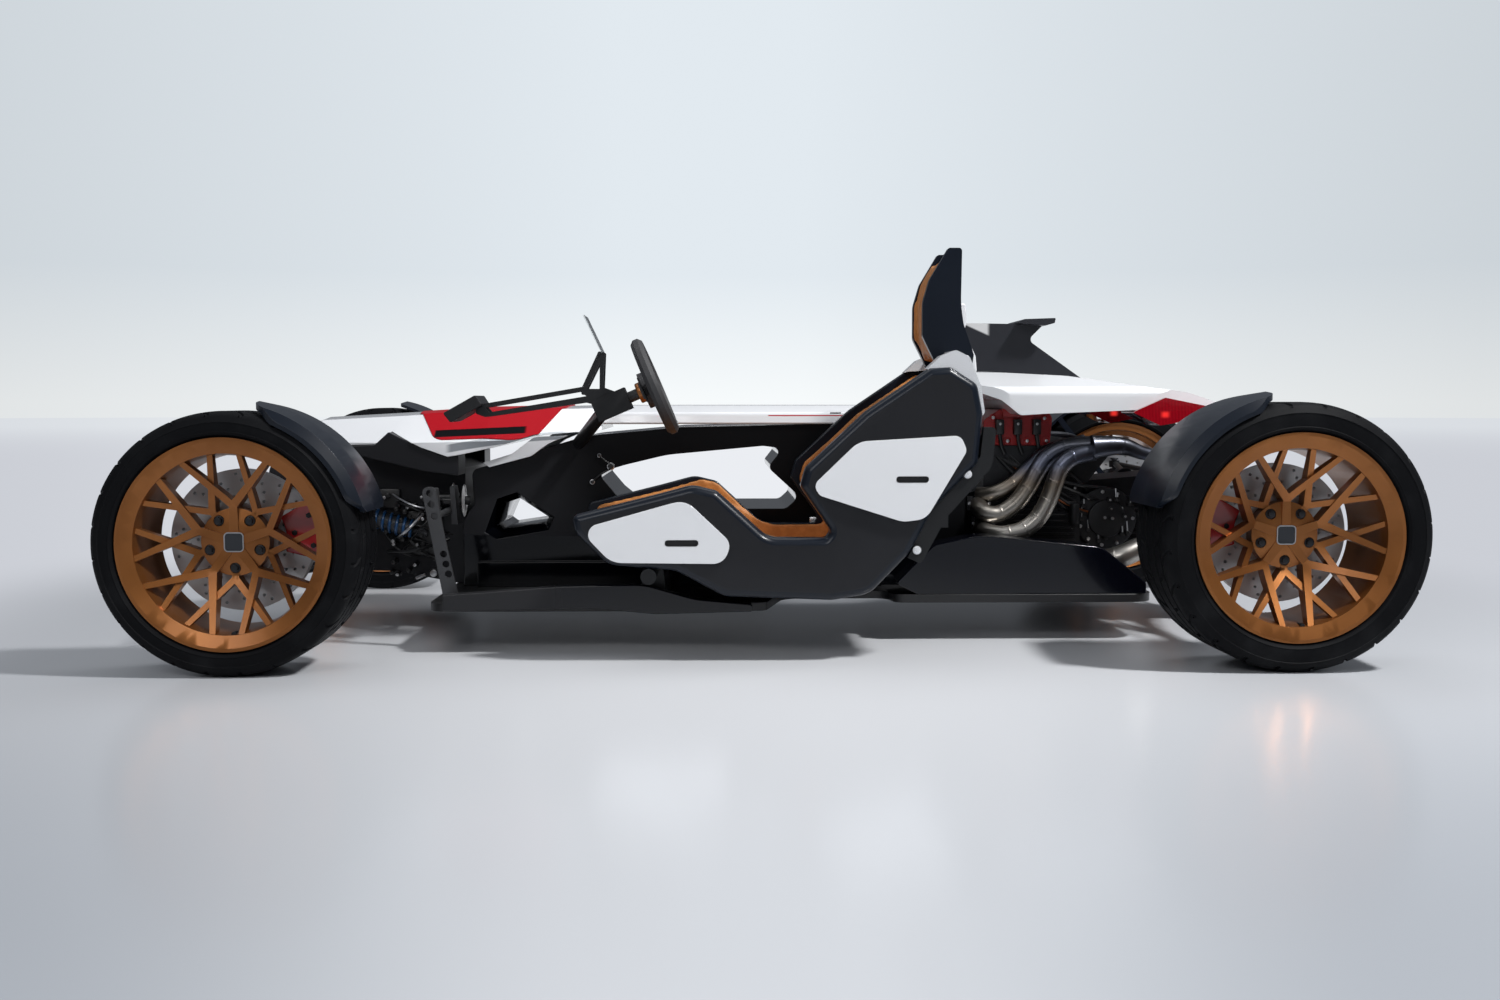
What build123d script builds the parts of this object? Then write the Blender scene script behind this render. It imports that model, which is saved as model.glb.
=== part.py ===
from build123d import *

import os
from math import atan2, cos, degrees, hypot, radians, sin

# Open-wheel concept car with a single seat hung beside a narrow spine. Millimetres.
# X runs rearwards from the nose, Y to the driver's right, Z up. The origin is on the floor,
# midway along the overall length, on the wheels' centreline.

# Overall size and wheels
overall_length = 3040.0
overall_width = 1820.0
front_tyre_radius = 300.0
rear_tyre_radius = 310.0
front_tyre_width = 228.0
rear_tyre_width = 270.0
rim_flange_radius = 241.0
rim_seat_radius = 218.3
rim_flange_thickness = 8.0
rim_lip_width = 36.0
barrel_radius = 200.0
tyre_overhang = 6.0
front_dish = 84.0
rear_dish = 97.0
wheel_hub_radius = 78.0
wheel_hub_depth = 45.0
lug_circle_radius = 60.0
lug_hole_radius = 12.5
centre_bore_radius = 30.0

# Clearances
running_gap = 0.3
seat_gap = 0.2
moving_gap = 5.0

# Brakes and hub carriers
disc_radius = 165.0
disc_thickness = 26.0
disc_hat_radius = 88.0
axle_radius = 22.0
ball_joint_rise = 104.0
pin_radius = 8.0
steering_arm_reach = 120.0
steering_arm_drop = 80.0

# Fenders
fender_gap = 10.0
fender_wall = 9.0
fender_inset = 8.0
stay_thickness = 6.0
stay_width = 18.0
front_fender_span = (13.0, 79.0)
rear_fender_span = (99.0, 168.0)

# Frame and body
frame_half_width = 215.0
floor_bottom = 100.0
floor_thickness = 22.0
tub_half_width = 175.0
cowl_half_width = 300.0
cowl_rear_half_width = 250.0
duct_half_width = 285.0
sill_width = 22.0
skirt_width = 40.0
roundel_thickness = 3.0
fin_half_width = 62.0
winglet_half_span = 110.0
final_drive_half_width = 120.0
exhaust_radius = 24.0
collector_radius = 34.0
engine_cover_half_width = 300.0

# Seat
seat_width = 500.0
seat_to_frame = 35.0
seat_edge_radius = 20.0
seat_wall = 44.0
liner_thickness = 18.0
liner_set_back = 20.0
liner_set_down = 5.0
strap_width = 30.0
headrest_width = 200.0
headrest_wall = 22.0
seat_panel_thickness = 14.0

# Steering
steering_wheel_radius = 127.0
steering_grip_width = 30.0
rack_radius = 12.0
tie_rod_radius = 7.0
truss_half_width = 32.0
truss_thickness = 6.0
pedal_plate_y = -520.0

# Tow eye at the nose
tow_eye_x = -1365.0
tow_eye_y = 120.0
tow_eye_bore_radius = 8.25

seat_centre_y = -(frame_half_width + seat_to_frame + seat_width / 2)
front_axle_x = -overall_length / 2 + front_tyre_radius
rear_axle_x = overall_length / 2 - rear_tyre_radius
front_wheel_y = overall_width / 2 - front_tyre_width / 2
rear_wheel_y = overall_width / 2 - rear_tyre_width / 2
floor_top = floor_bottom + floor_thickness


# Shapes that several pieces share

def outline(corners, place):
    """A closed face through corners (a, b, radius), each rounded by its own radius where that isn't 0."""
    points = [place(a, b) for a, b, _ in corners]
    radii = [r for _, _, r in corners]
    edge = FilletPolyline(*points, radius=radii, close=True) if any(radii) else Polyline(*points, close=True)
    return make_face(edge)


def plain(points):
    """Sharp corners from (a, b) pairs."""
    return [(a, b, 0) for a, b in points]


def prism_y(corners, y_low, y_high):
    """A side outline of (x, z, radius) corners, run across the car."""
    return extrude(outline(corners, lambda x, z: (x, y_low, z)), amount=y_high - y_low, dir=(0, 1, 0))


def prism_z(corners, z_low, z_high):
    """A plan outline of (x, y, radius) corners, run upwards."""
    return extrude(outline(corners, lambda x, y: (x, y, z_low)), amount=z_high - z_low, dir=(0, 0, 1))


def prism_x(corners, x_low, x_high):
    """A front outline of (y, z, radius) corners, run along the car."""
    return extrude(outline(corners, lambda y, z: (x_low, y, z)), amount=x_high - x_low, dir=(1, 0, 0))


def box(x_low, x_high, y_low, y_high, z_low, z_high):
    return Pos((x_low + x_high) / 2, (y_low + y_high) / 2, (z_low + z_high) / 2) * Box(
        x_high - x_low, y_high - y_low, z_high - z_low)


def pipe(points, radius, sides=12):
    """A welded pipe: straight lengths of tube, mitred where they meet."""
    line = Polyline(*points)
    return sweep(Plane(origin=line @ 0, z_dir=line % 0) * RegularPolygon(radius, sides), path=line,
                 transition=Transition.RIGHT)


def rod(start, end, radius):
    """A round bar between two points."""
    run = Vector(*end) - Vector(*start)
    return extrude(Plane(origin=start, z_dir=run) * Circle(radius), amount=run.length)


def ring_y(points, turn=360.0, start=0.0):
    """A section of (radius, y) points turned about the Y axis, from an angle above the +X direction."""
    face = make_face(Polyline([(r, y, 0) for r, y in points], close=True))
    return Rot(0, -start, 0) * revolve(face, Axis.Y, -turn)


def mirrored(shape):
    return mirror(shape, about=Plane.XZ)


def group(shapes):
    """Solids that don't touch, kept as one piece of the assembly."""
    return Compound(children=[s for shape in shapes for s in shape.solids()])


# Wheels: built with the tyre's middle at y = 0 and the outer side at +y

def tyre(radius, width):
    """One ring: the beads sit on the rim's seats, and the sidewalls cover the flanges' edges."""
    half = width / 2
    bead = half - tyre_overhang - rim_flange_thickness - running_gap
    shoulder_drop, shoulder_in = 18.0, 24.0
    side = [(rim_seat_radius + seat_gap, bead), (rim_flange_radius + 3, bead), (rim_flange_radius + 16, half),
            (radius - shoulder_drop, half - 2), (radius, half - shoulder_in)]
    return ring_y(side + [(r, -y) for r, y in reversed(side)])


def barrel(width):
    """Both bead seats, the drop centre between them, and the dished outer lip."""
    half = width / 2 - tyre_overhang - rim_flange_thickness
    face = half + rim_flange_thickness
    lip = rim_flange_radius - rim_lip_width
    wall = 8.0
    return ring_y([
        (rim_flange_radius, face), (rim_flange_radius, half), (rim_seat_radius, half), (barrel_radius + wall, half - 44),
        (barrel_radius + wall, 44 - half), (rim_seat_radius, -half), (rim_flange_radius, -half),
        (rim_flange_radius, -face), (barrel_radius, 30 - half), (barrel_radius, half - 36), (lip, half - 4),
        (rim_flange_radius - 8, face)])


def spoke_bars(axes, node_radius, node_width, end_width, fork=27.0):
    """Forked spokes seen from the side: a stem from the hub to a node, then two branches to the rim."""
    end_radius = barrel_radius + 6
    pieces = []
    for axis in axes:
        node = (node_radius * cos(radians(axis)), node_radius * sin(radians(axis)))
        ends = [(0.0, 0.0)] + [
            (end_radius * cos(radians(axis + s * fork)), end_radius * sin(radians(axis + s * fork)))
            for s in (-1, 1)]
        for end in ends:
            run = hypot(end[0] - node[0], end[1] - node[1])
            turn = degrees(atan2(end[1] - node[1], end[0] - node[0]))
            tip = end_width if end != ends[0] else node_width * 1.3
            outline = [(0, -node_width / 2), (run, -tip / 2), (run, tip / 2), (0, node_width / 2)]
            pieces.append(Pos(*node) * Rot(0, 0, turn) * make_face(Polyline(
                [(x, y, 0) for x, y in outline], close=True)))
    return pieces


def rim(width, dish):
    half = width / 2
    hub_face = half - dish
    hub_back = hub_face - wheel_hub_depth
    rim_end = half - tyre_overhang - rim_flange_thickness - 6
    fifths = [90 + 72 * i for i in range(5)]
    tall = 400.0

    def envelope(drop):
        return ring_y([
            (0, hub_back), (0, hub_face - drop), (wheel_hub_radius, hub_face - drop),
            (barrel_radius + 6, rim_end - drop), (barrel_radius + 6, rim_end - 26),
            (124, hub_face - 14), (wheel_hub_radius, hub_back + 6)])

    def side_run(faces):
        flat = Sketch() + faces
        return Pos(0, half, 0) * Rot(90, 0, 0) * extrude(flat, amount=tall)

    raised = side_run(spoke_bars(fifths, 84, 18, 13)) & envelope(0)
    lower = side_run(spoke_bars([a + 36 for a in fifths], 84, 15, 12)) & envelope(7)
    hub = ring_y([(0, hub_back), (wheel_hub_radius, hub_back), (wheel_hub_radius, hub_face - 10), (40, hub_face - 2),
                  (0, hub_face - 2)])
    whole = barrel(width) + [raised, lower, hub]
    cuts = [Pos(0, hub_back, 0) * Rot(-90, 0, 0) * Cylinder(
        centre_bore_radius, wheel_hub_depth - 12, align=(Align.CENTER, Align.CENTER, Align.MIN))]
    for a in fifths:
        x, z = lug_circle_radius * cos(radians(a + 36)), lug_circle_radius * sin(radians(a + 36))
        cuts.append(rod((x, hub_back - 1, z), (x, hub_face + 30, z), lug_hole_radius))
    return whole - cuts


def disc_and_hub(mount_face, inner_end):
    """Brake disc, its hat and the hub's axle, turned in one; y counts from the car's centreline."""
    back, front = mount_face - 45, mount_face - 45 + disc_thickness
    return ring_y([
        (0, mount_face), (disc_hat_radius, mount_face), (disc_hat_radius, front), (disc_radius, front),
        (disc_radius, back), (disc_hat_radius - 2, back), (disc_hat_radius - 8, back + 9),
        (disc_hat_radius - 8, mount_face - 11), (axle_radius + 8, mount_face - 11),
        (axle_radius, mount_face - 14), (axle_radius, inner_end), (0, inner_end)])


def place_wheel(shape, axle_x, wheel_y, radius):
    return Pos(axle_x, wheel_y, radius) * shape


front_mount_face = overall_width / 2 - front_dish - wheel_hub_depth
rear_mount_face = overall_width / 2 - rear_dish - wheel_hub_depth
carrier_inset = 81.0
front_kingpin_y = front_mount_face - carrier_inset
rear_kingpin_y = rear_mount_face - carrier_inset


# Hub carriers, calipers and fenders: built about the wheel's centre, y from the car's centreline

def carrier(mount_face, steering_arm):
    inner = mount_face - carrier_inset
    plate = 22.0
    height = ball_joint_rise
    plate_outline = [(-24, 18 - height, 8), (24, 18 - height, 8), (52, -20, 0), (48, 46, 0),
                     (22, height - 18, 8), (-22, height - 18, 8), (-48, 46, 0), (-52, -20, 0)]
    body = prism_y(plate_outline, inner, inner + plate)
    body += ring_y([(0, inner), (48, inner), (48, mount_face - 16), (0, mount_face - 16)])
    for side in (-1, 1):
        body += rod((0, inner, side * (height - 36)), (0, inner, side * (height - 15)), 15)
        body += rod((0, inner, side * (height - 15)), (0, inner, side * (height + 18)), pin_radius)
        body += rod((0, inner, side * (height + 14)), (0, inner, side * (height + 20)), 13)
    if steering_arm:
        arm_z = -steering_arm_drop
        body += prism_z([(20, inner - 4, 0), (steering_arm_reach + 12, inner - 12, 10),
                         (steering_arm_reach + 12, inner + 12, 10), (20, inner + 22, 0)], arm_z - 6, arm_z + 6)
    bore = rod((0, inner - 20, 0), (0, mount_face, 0), axle_radius + running_gap)
    return body - bore


def caliper(mount_face, angle):
    """A block that bridges the disc, with a bracket face on its inner side."""
    back, front = mount_face - 45, mount_face - 45 + disc_thickness
    inner, outer = mount_face - 69, mount_face + 4
    low, high, turn = 108.0, 182.0, 44.0
    section = [(low, inner), (high, inner), (high, outer), (low, outer),
               (low, front + moving_gap), (disc_radius + moving_gap, front + moving_gap),
               (disc_radius + moving_gap, back - moving_gap), (low, back - moving_gap)]
    return ring_y(section, turn, angle - turn / 2)


def caliper_bracket(mount_face, angle):
    inner = mount_face - carrier_inset
    reach = 150.0
    arm = prism_y([(30, -30, 0), (reach, -26, 12), (reach + 12, 0, 0), (reach, 26, 12), (30, 30, 0)],
                  inner, mount_face - 69)
    return Rot(0, -angle, 0) * arm


def fender(radius, width, wheel_y, start, end, stay_angles, rearwards):
    """A guard that follows the tyre, creased along its middle, with flat stays to the hub carrier."""
    outer_y = wheel_y + width / 2
    inner_y = wheel_y - width / 2 - fender_inset
    crease_y = inner_y + (outer_y - inner_y) * 0.62
    low, high = radius + fender_gap, radius + fender_gap + fender_wall
    section = [(low, inner_y), (high, inner_y), (high + 9, crease_y), (high + 2, outer_y - 14), (radius + 1, outer_y),
               (radius - 9, outer_y), (radius - 9, outer_y - 5), (low - 2, outer_y - 20), (low + 3, crease_y)]
    guard = ring_y(section, end - start, start)
    reach = rearwards * (high + 40)
    tip_x = (high + 10) * cos(radians(end if rearwards > 0 else start))
    guard &= prism_z([(tip_x, inner_y - 1, 50), (tip_x, outer_y + 1, 75), (reach, outer_y + 1, 0),
                      (reach, inner_y - 1, 0)], -radius, radius * 2)
    foot = low * sin(radians(start if rearwards > 0 else end))
    guard &= prism_x([(inner_y - 1, foot, 35), (outer_y + 1, foot, 55), (outer_y + 1, radius * 2, 0),
                      (inner_y - 1, radius * 2, 0)], -radius * 2, radius * 2)
    for angle in stay_angles:
        bar = box(30, low + 4, inner_y - stay_thickness, inner_y, -stay_width / 2, stay_width / 2)
        guard += Rot(0, -angle, 0) * bar
    return guard


def stay_boss(wheel_y, width, kingpin_y):
    """A ring on the carrier's inner face that the fender's stays are bolted to."""
    stay_y = wheel_y - width / 2 - fender_inset
    return ring_y([(axle_radius + 4, stay_y), (48, stay_y), (48, kingpin_y + 1), (axle_radius + 4, kingpin_y + 1)])


nodes = {}


def both_sides(name, shape):
    """The shape as modelled on the right, and its mirror image on the left."""
    nodes[name + "_right"] = shape
    nodes[name + "_left"] = mirrored(shape)


def shared_node(name, shape):
    """The right-hand shape and its mirror image, as one piece of the assembly."""
    nodes[name] = group([shape, mirrored(shape)])


front_centre = Pos(front_axle_x, 0, front_tyre_radius)
rear_centre = Pos(rear_axle_x, 0, rear_tyre_radius)
for name, radius, width, dish, mount_face, centre, wheel_y in (
        ("front", front_tyre_radius, front_tyre_width, front_dish, front_mount_face, front_centre, front_wheel_y),
        ("rear", rear_tyre_radius, rear_tyre_width, rear_dish, rear_mount_face, rear_centre, rear_wheel_y)):
    both_sides(name + "_tyre", centre * Pos(0, wheel_y, 0) * tyre(radius, width))
    both_sides(name + "_rim", centre * Pos(0, wheel_y, 0) * rim(width, dish))

both_sides("front_brake_disc", front_centre * disc_and_hub(front_mount_face, front_kingpin_y - 10))
both_sides("front_caliper", front_centre * caliper(front_mount_face, 8))
both_sides("front_knuckle", front_centre * (
    carrier(front_mount_face, True) + caliper_bracket(front_mount_face, 8)
    + stay_boss(front_wheel_y, front_tyre_width, front_kingpin_y)))
both_sides("front_fender", front_centre * fender(
    front_tyre_radius, front_tyre_width, front_wheel_y, *front_fender_span, (30, 52), 1))
shared_node("rear_calipers", rear_centre * caliper(rear_mount_face, 172))
shared_node("rear_fenders", rear_centre * fender(
    rear_tyre_radius, rear_tyre_width, rear_wheel_y, *rear_fender_span, (128, 150), -1))

# Rear axle: the half shaft turns with the wheel and ends in the final drive
shaft = disc_and_hub(rear_mount_face, 64)
joint_boot = ring_y([(0, 126), (44, 126), (46, 165), (26, 215), (0, 215)])
boot_end = rear_wheel_y - rear_tyre_width / 2 - fender_inset - stay_thickness - moving_gap
outer_boot = ring_y([(0, boot_end - 65), (26, boot_end - 65), (42, boot_end - 15), (42, boot_end), (0, boot_end)])
both_sides("rear_half_shaft", rear_centre * (shaft + joint_boot + outer_boot))
shared_node("rear_carriers", rear_centre * (
    carrier(rear_mount_face, False) + caliper_bracket(rear_mount_face, 172)
    + stay_boss(rear_wheel_y, rear_tyre_width, rear_kingpin_y)))


# Suspension arms, fixed at ride height

def wishbone(axle_x, axle_z, kingpin_y, rise, inner_y, inner_z, spread, tube=9.0):
    """Two tubes from the carrier's pin to pivots on the body, with an eye round the pin."""
    z = axle_z + rise
    tip = (axle_x, kingpin_y - 14, z)
    arm = rod((axle_x, kingpin_y, z - 11), (axle_x, kingpin_y, z + 11), 17)
    for side in (-1, 1):
        arm += rod(tip, (axle_x + side * spread, inner_y, inner_z), tube)
    return arm - rod((axle_x, kingpin_y, z - 20), (axle_x, kingpin_y, z + 20), pin_radius + running_gap)


def coil_over(bottom, top, radius=22.0):
    """A damper: its body, its rod and one sleeve as wide as its spring."""
    run = Vector(*top) - Vector(*bottom)
    place = Plane(origin=bottom, z_dir=run)
    along = (Align.CENTER, Align.CENTER, Align.MIN)
    unit = place * Cylinder(9, run.length, align=along)
    unit += place.offset(run.length * 0.14) * Cylinder(16, run.length * 0.3, align=along)
    return unit + place.offset(run.length * 0.4) * Cylinder(radius, run.length * 0.45, align=along)


front_arms = [
    wishbone(front_axle_x, front_tyre_radius, front_kingpin_y, -ball_joint_rise, tub_half_width, 190, 130),
    wishbone(front_axle_x, front_tyre_radius, front_kingpin_y, ball_joint_rise, tub_half_width, 385, 110)]
rear_arms = [
    wishbone(rear_axle_x, rear_tyre_radius, rear_kingpin_y, -ball_joint_rise, 110, 225, 110),
    wishbone(rear_axle_x, rear_tyre_radius, rear_kingpin_y, ball_joint_rise, 110, 385, 100)]


spine_front = -800.0
spine_rear = 560.0
spine_top = 560.0
cover_top = 611.0

# Nose tub: the dark front structure that carries the front suspension and the rack
rack_x = front_axle_x + steering_arm_reach
rack_z = front_tyre_radius - steering_arm_drop + 17
nose_tub = prism_y([
    (-1330, 190, 30), (-1290, 165, 30), (-1000, 160, 60), (spine_front, floor_top, 0), (spine_front, 440, 0),
    (-860, 480, 20), (-980, 515, 20), (-1200, 500, 60), (-1330, 455, 40)], -tub_half_width, tub_half_width)
nose_tub += prism_z([(-1325, tow_eye_y - 24, 0), (-1386, tow_eye_y - 24, 20), (-1386, tow_eye_y + 24, 20),
                     (-1325, tow_eye_y + 24, 0)], 254, 266)
nose_tub -= rod((tow_eye_x, tow_eye_y, 240), (tow_eye_x, tow_eye_y, 280), tow_eye_bore_radius)
nose_tub -= rod((rack_x, -tub_half_width - 1, rack_z), (rack_x, tub_half_width + 1, rack_z), rack_radius + running_gap)
nodes["nose_tub"] = nose_tub
shared_node("front_wishbones", group([arm - nose_tub for arm in front_arms]))

# Rack with both tie rods: it slides across the car. Each eye lies on top of its steering arm.
rack = rod((rack_x, -tub_half_width - 40, rack_z), (rack_x, tub_half_width + 40, rack_z), rack_radius)
for side in (-1, 1):
    rack += rod((rack_x, side * (tub_half_width + 30), rack_z),
                (rack_x, side * (front_kingpin_y - 8), rack_z), tie_rod_radius)
    rack += rod((rack_x, side * front_kingpin_y, rack_z - 10), (rack_x, side * front_kingpin_y, rack_z + 10), 13)
nodes["steering_rack"] = rack

# Spine frame: an open box beam with a window beside the seat and a tapered three-sided hole ahead of it
spine = prism_y([
    (spine_front, floor_top, 0), (spine_front, 300, 0), (spine_front + 30, 345, 20), (spine_front + 24, 436, 20),
    (-470, 528, 300), (-209, 552, 500), (203, spine_top, 0), (spine_rear, spine_top, 0),
    (spine_rear, floor_top, 0)], -frame_half_width, frame_half_width)
spine -= prism_y([
    (-437, 428, 14), (-390, 372, 20), (-340, 331, 50), (71, 331, 26), (108, 364, 20), (22, 443, 16), (62, 494, 14),
    (10, 501, 60), (-250, 477, 300), (-363, 450, 100)], -frame_half_width - 1, frame_half_width + 1)
recess = [(-743, 268), (-709, 359), (-655, 377), (-554, 308), (-571, 273), (-711, 249)]
hole = [(-716, 284), (-690, 345), (-655, 357), (-576, 305), (-586, 289), (-700, 272)]
spine -= prism_y(plain(hole), -frame_half_width - 1, frame_half_width + 1)
for side in (-1, 1):
    mouth = outline(plain(recess), lambda x, z: (x, side * (frame_half_width + 0.5), z))
    throat = outline(plain(hole), lambda x, z: (x, side * (frame_half_width - 60), z))
    spine -= loft([mouth, throat], ruled=True)
    spine += box(-760, 330, *sorted((side * frame_half_width, side * (frame_half_width + sill_width))),
                 floor_top, 189)
nodes["spine_frame"] = spine

# Floor, and the upswept skirts on its edges
floor_half_width = 560.0
floor_waist = 330.0
rear_floor_half_width = 420.0
floor_rear = 1023.0
nodes["floor"] = prism_z([
    (-832, -floor_half_width, 40), (5, -floor_half_width, 30), (60, -floor_waist, 60), (330, -floor_waist, 40),
    (345, -rear_floor_half_width, 30), (floor_rear, -rear_floor_half_width, 60),
    (floor_rear, rear_floor_half_width, 60), (345, rear_floor_half_width, 30), (330, floor_waist, 40),
    (60, floor_waist, 60), (5, floor_half_width, 30), (-832, floor_half_width, 40)], floor_bottom, floor_top)
skirt = prism_y([
    (-790, 146, 4), (-506, 167, 400), (-298, 172, 150), (-170, 135, 200), (-30, 122, 6), (-30, 104, 4),
    (-268, 98, 200), (-412, 112, 150), (-790, 108, 3)], floor_half_width, floor_half_width + skirt_width)
fairing = prism_y([
    (345, 150, 10), (402, floor_top, 0), (1000, floor_top, 0), (1000, 150, 10), (884, 244, 80), (564, 276, 300),
    (445, 251, 40)], floor_waist, rear_floor_half_width)
nodes["side_skirts"] = group([skirt, mirrored(skirt), fairing, mirrored(fairing)])

# Nose cowl: a crowned white skin lofted over the tub, with a stepped lower edge
cowl_stations = [(-1345, 470, 520, 110), (-1190, 465, 578, 235), (-960, 455, 590, 290), (-729, 452, 604, 295),
                 (-424, 470, cover_top, cowl_rear_half_width)]


def cowl_section(x, low, high, half_width):
    """One crowned cross-section: upright sides, a shoulder and a nearly flat top."""
    shoulder = low + (high - low) * 0.42
    return outline([(-half_width, low, 0), (half_width, low, 0), (half_width, shoulder, 0),
                    (half_width * 0.62, high - 8, 0), (half_width * 0.25, high, 0), (-half_width * 0.25, high, 0),
                    (-half_width * 0.62, high - 8, 0), (-half_width, shoulder, 0)], lambda y, z: (x, y, z))


cowl_body = loft([cowl_section(*station) for station in cowl_stations], ruled=True)
cowl_band = prism_y(plain([
    (-1350, 474), (-1190, 503), (-1020, 507), (-983, 541), (-895, 499), (-827, 475), (-795, 480), (-700, 501),
    (-600, 530), (-424, 545), (-424, 640), (-1350, 640)]), -cowl_half_width, cowl_half_width)
cowl = (cowl_body & cowl_band) - nose_tub - spine
blade = prism_y([
    (-738, 458, 0), (-722, 446, 0), (-611, 475, 30), (-566, 508, 20), (-515, 530, 0), (-603, 526, 30),
    (-661, 482, 30)], frame_half_width, frame_half_width + 45)
nodes["nose_cowl"] = group([cowl, blade, mirrored(blade)])

# Roundel: a thin rounded patch that wraps over the cowl's shoulders
roundel_half_width = 286.0
roundel_plan = prism_z([
    (-936, 0, 0), (-925, -150, 90), (-862, -roundel_half_width, 40), (-606, -roundel_half_width, 40),
    (-528, -150, 90), (-518, 0, 0), (-528, 150, 90), (-606, roundel_half_width, 40), (-862, roundel_half_width, 40),
    (-925, 150, 90)], 518, 700)
roundel = (Pos(0, 0, roundel_thickness) * cowl & roundel_plan) - cowl
nodes["roundel"] = group([max(roundel.solids(), key=lambda solid: solid.volume)])

# Ducts under the cowl, one each side of the tub
duct = prism_y(plain([
    (-1098, 503), (-1060, 478), (-891, 437), (-800, 425), (-800, 479), (-827, 474), (-895, 498), (-983, 540),
    (-1020, 506)]), tub_half_width, duct_half_width) - cowl
nodes["nose_ducts"] = group([duct, mirrored(duct)])

# Spine cover with the air intake's hump at its rear end
cover_half_width = frame_half_width + 10
spine_cover = prism_x([
    (-cover_half_width, spine_top, 0), (cover_half_width, spine_top, 0), (cover_half_width - 8, 590, 14),
    (150, cover_top, 60), (-150, cover_top, 60), (8 - cover_half_width, 590, 14)], -424, spine_rear)
hump = prism_y([
    (455, cover_top, 0), (spine_rear, cover_top, 0), (spine_rear, 703, 0), (612.8, 703, 0), (608.8, 748, 0),
    (574.8, 815, 0), (582.8, 840, 0), (580, 893, 6), (556, 895, 10), (500, 870, 40)], -80, 80)
nodes["spine_cover"] = spine_cover + hump

# Engine cover, fin and winglet
cover_side = prism_y([
    (spine_rear, 703, 0), (623, 703, 0), (841, 691, 300), (1037, 659, 300), (1147, 645, 100), (1320, 600, 10),
    (1332, 584, 4), (1176, 608, 0), (1072, 630, 20), (998, 598, 20), (750, 588, 100), (690, 584, 20), (640, 625, 30),
    (590, 643, 0), (spine_rear, 650, 0)], -engine_cover_half_width, engine_cover_half_width)
cover_section = prism_x([
    (-engine_cover_half_width, 570, 0), (engine_cover_half_width, 570, 0), (engine_cover_half_width, 655, 30),
    (130, 704, 150), (-130, 704, 150), (-engine_cover_half_width, 655, 30)], spine_rear - 10, 1340)
cover_plan = prism_z([
    (spine_rear, -260, 20), (660, -engine_cover_half_width, 60), (1100, -engine_cover_half_width, 200),
    (1330, -150, 60), (1330, 150, 60), (1100, engine_cover_half_width, 200), (660, engine_cover_half_width, 60),
    (spine_rear, 260, 20)], 500, 800)
engine_cover = cover_side & cover_section & cover_plan
nodes["engine_cover"] = engine_cover
fin = prism_y([
    (583, 840, 0), (710, 838, 60), (797, 832, 0), (758, 793, 14), (921, 678, 0), (915, 660, 0), (640, 690, 0),
    (613, 703, 0), (609, 748, 0), (575, 815, 0)], -fin_half_width, fin_half_width) - engine_cover
fin += prism_y([(715, 838, 3), (738, 849, 6), (825, 852, 3), (822, 838, 3), (797, 831, 0)], -winglet_half_span,
               winglet_half_span)
nodes["tail_fin"] = fin
light = prism_y([(985, 592, 3), (1072, 631, 6), (1176, 610, 6), (1262, 596, 3), (1118, 567, 10), (1060, 557, 10)],
                190, 318)
light -= engine_cover
nodes["tail_lights"] = group([light, mirrored(light)])

# Engine with its gearbox, as plain castings; red covers over the valve gear
crankcase = prism_y([
    (spine_rear, 200, 10), (640, 160, 30), (860, 160, 30), (900, 200, 0), (1100, 190, 0), (1340, 205, 30),
    (1345, 400, 20), (1200, 425, 20), (900, 400, 0), (700, 400, 0), (spine_rear, 360, 0)],
    -final_drive_half_width, final_drive_half_width)
crankcase += prism_y([(600, 190, 20), (880, 190, 20), (880, 385, 20), (600, 385, 20)], -190, 190)
front_bank = prism_y(plain([(614, 370), (740, 370), (800, 500), (618, 500)]), -180, 180)
rear_bank = prism_y(plain([(740, 370), (880, 370), (960, 470), (860, 520), (800, 500)]), -170, 170)
for side in (-1, 1):
    crankcase -= rod((rear_axle_x, side * 130, rear_tyre_radius), (rear_axle_x, side * 60, rear_tyre_radius),
                     axle_radius + running_gap)
engine = crankcase + front_bank + rear_bank
nodes["engine"] = engine
nodes["cam_covers"] = prism_y([(616, 500, 0), (798, 500, 0), (805, 590, 20), (660, 600, 20), (614, 570, 20)],
                              -175, 175) - engine_cover
shared_node("rear_wishbones", group([arm - engine for arm in rear_arms]))

# Exhaust: two primaries a side sweep up into a collector that runs back over the gearbox
upper_pipe = [(600, 186, 343), (598, 236, 326), (622, 250, 316), (652, 250, 320), (690, 250, 346), (722, 250, 388),
              (748, 250, 434), (778, 251, 474), (822, 262, 498), (885, 290, 506)]
lower_pipe = [(612, 186, 288), (606, 262, 272), (630, 292, 266), (665, 302, 269), (705, 303, 282), (740, 303, 312),
              (766, 303, 358), (784, 303, 408), (800, 303, 446), (832, 303, 474), (888, 303, 488)]
pipes = [pipe(points, exhaust_radius) for points in (upper_pipe, lower_pipe)]
collector = pipe([(880, 310, 499), (960, 310, 503), (1035, 305, 480), (1180, 270, 470)], collector_radius)
exhaust = pipes[0] + pipes[1] + collector - engine
nodes["exhaust_pipes"] = group([exhaust, mirrored(exhaust)])

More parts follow.
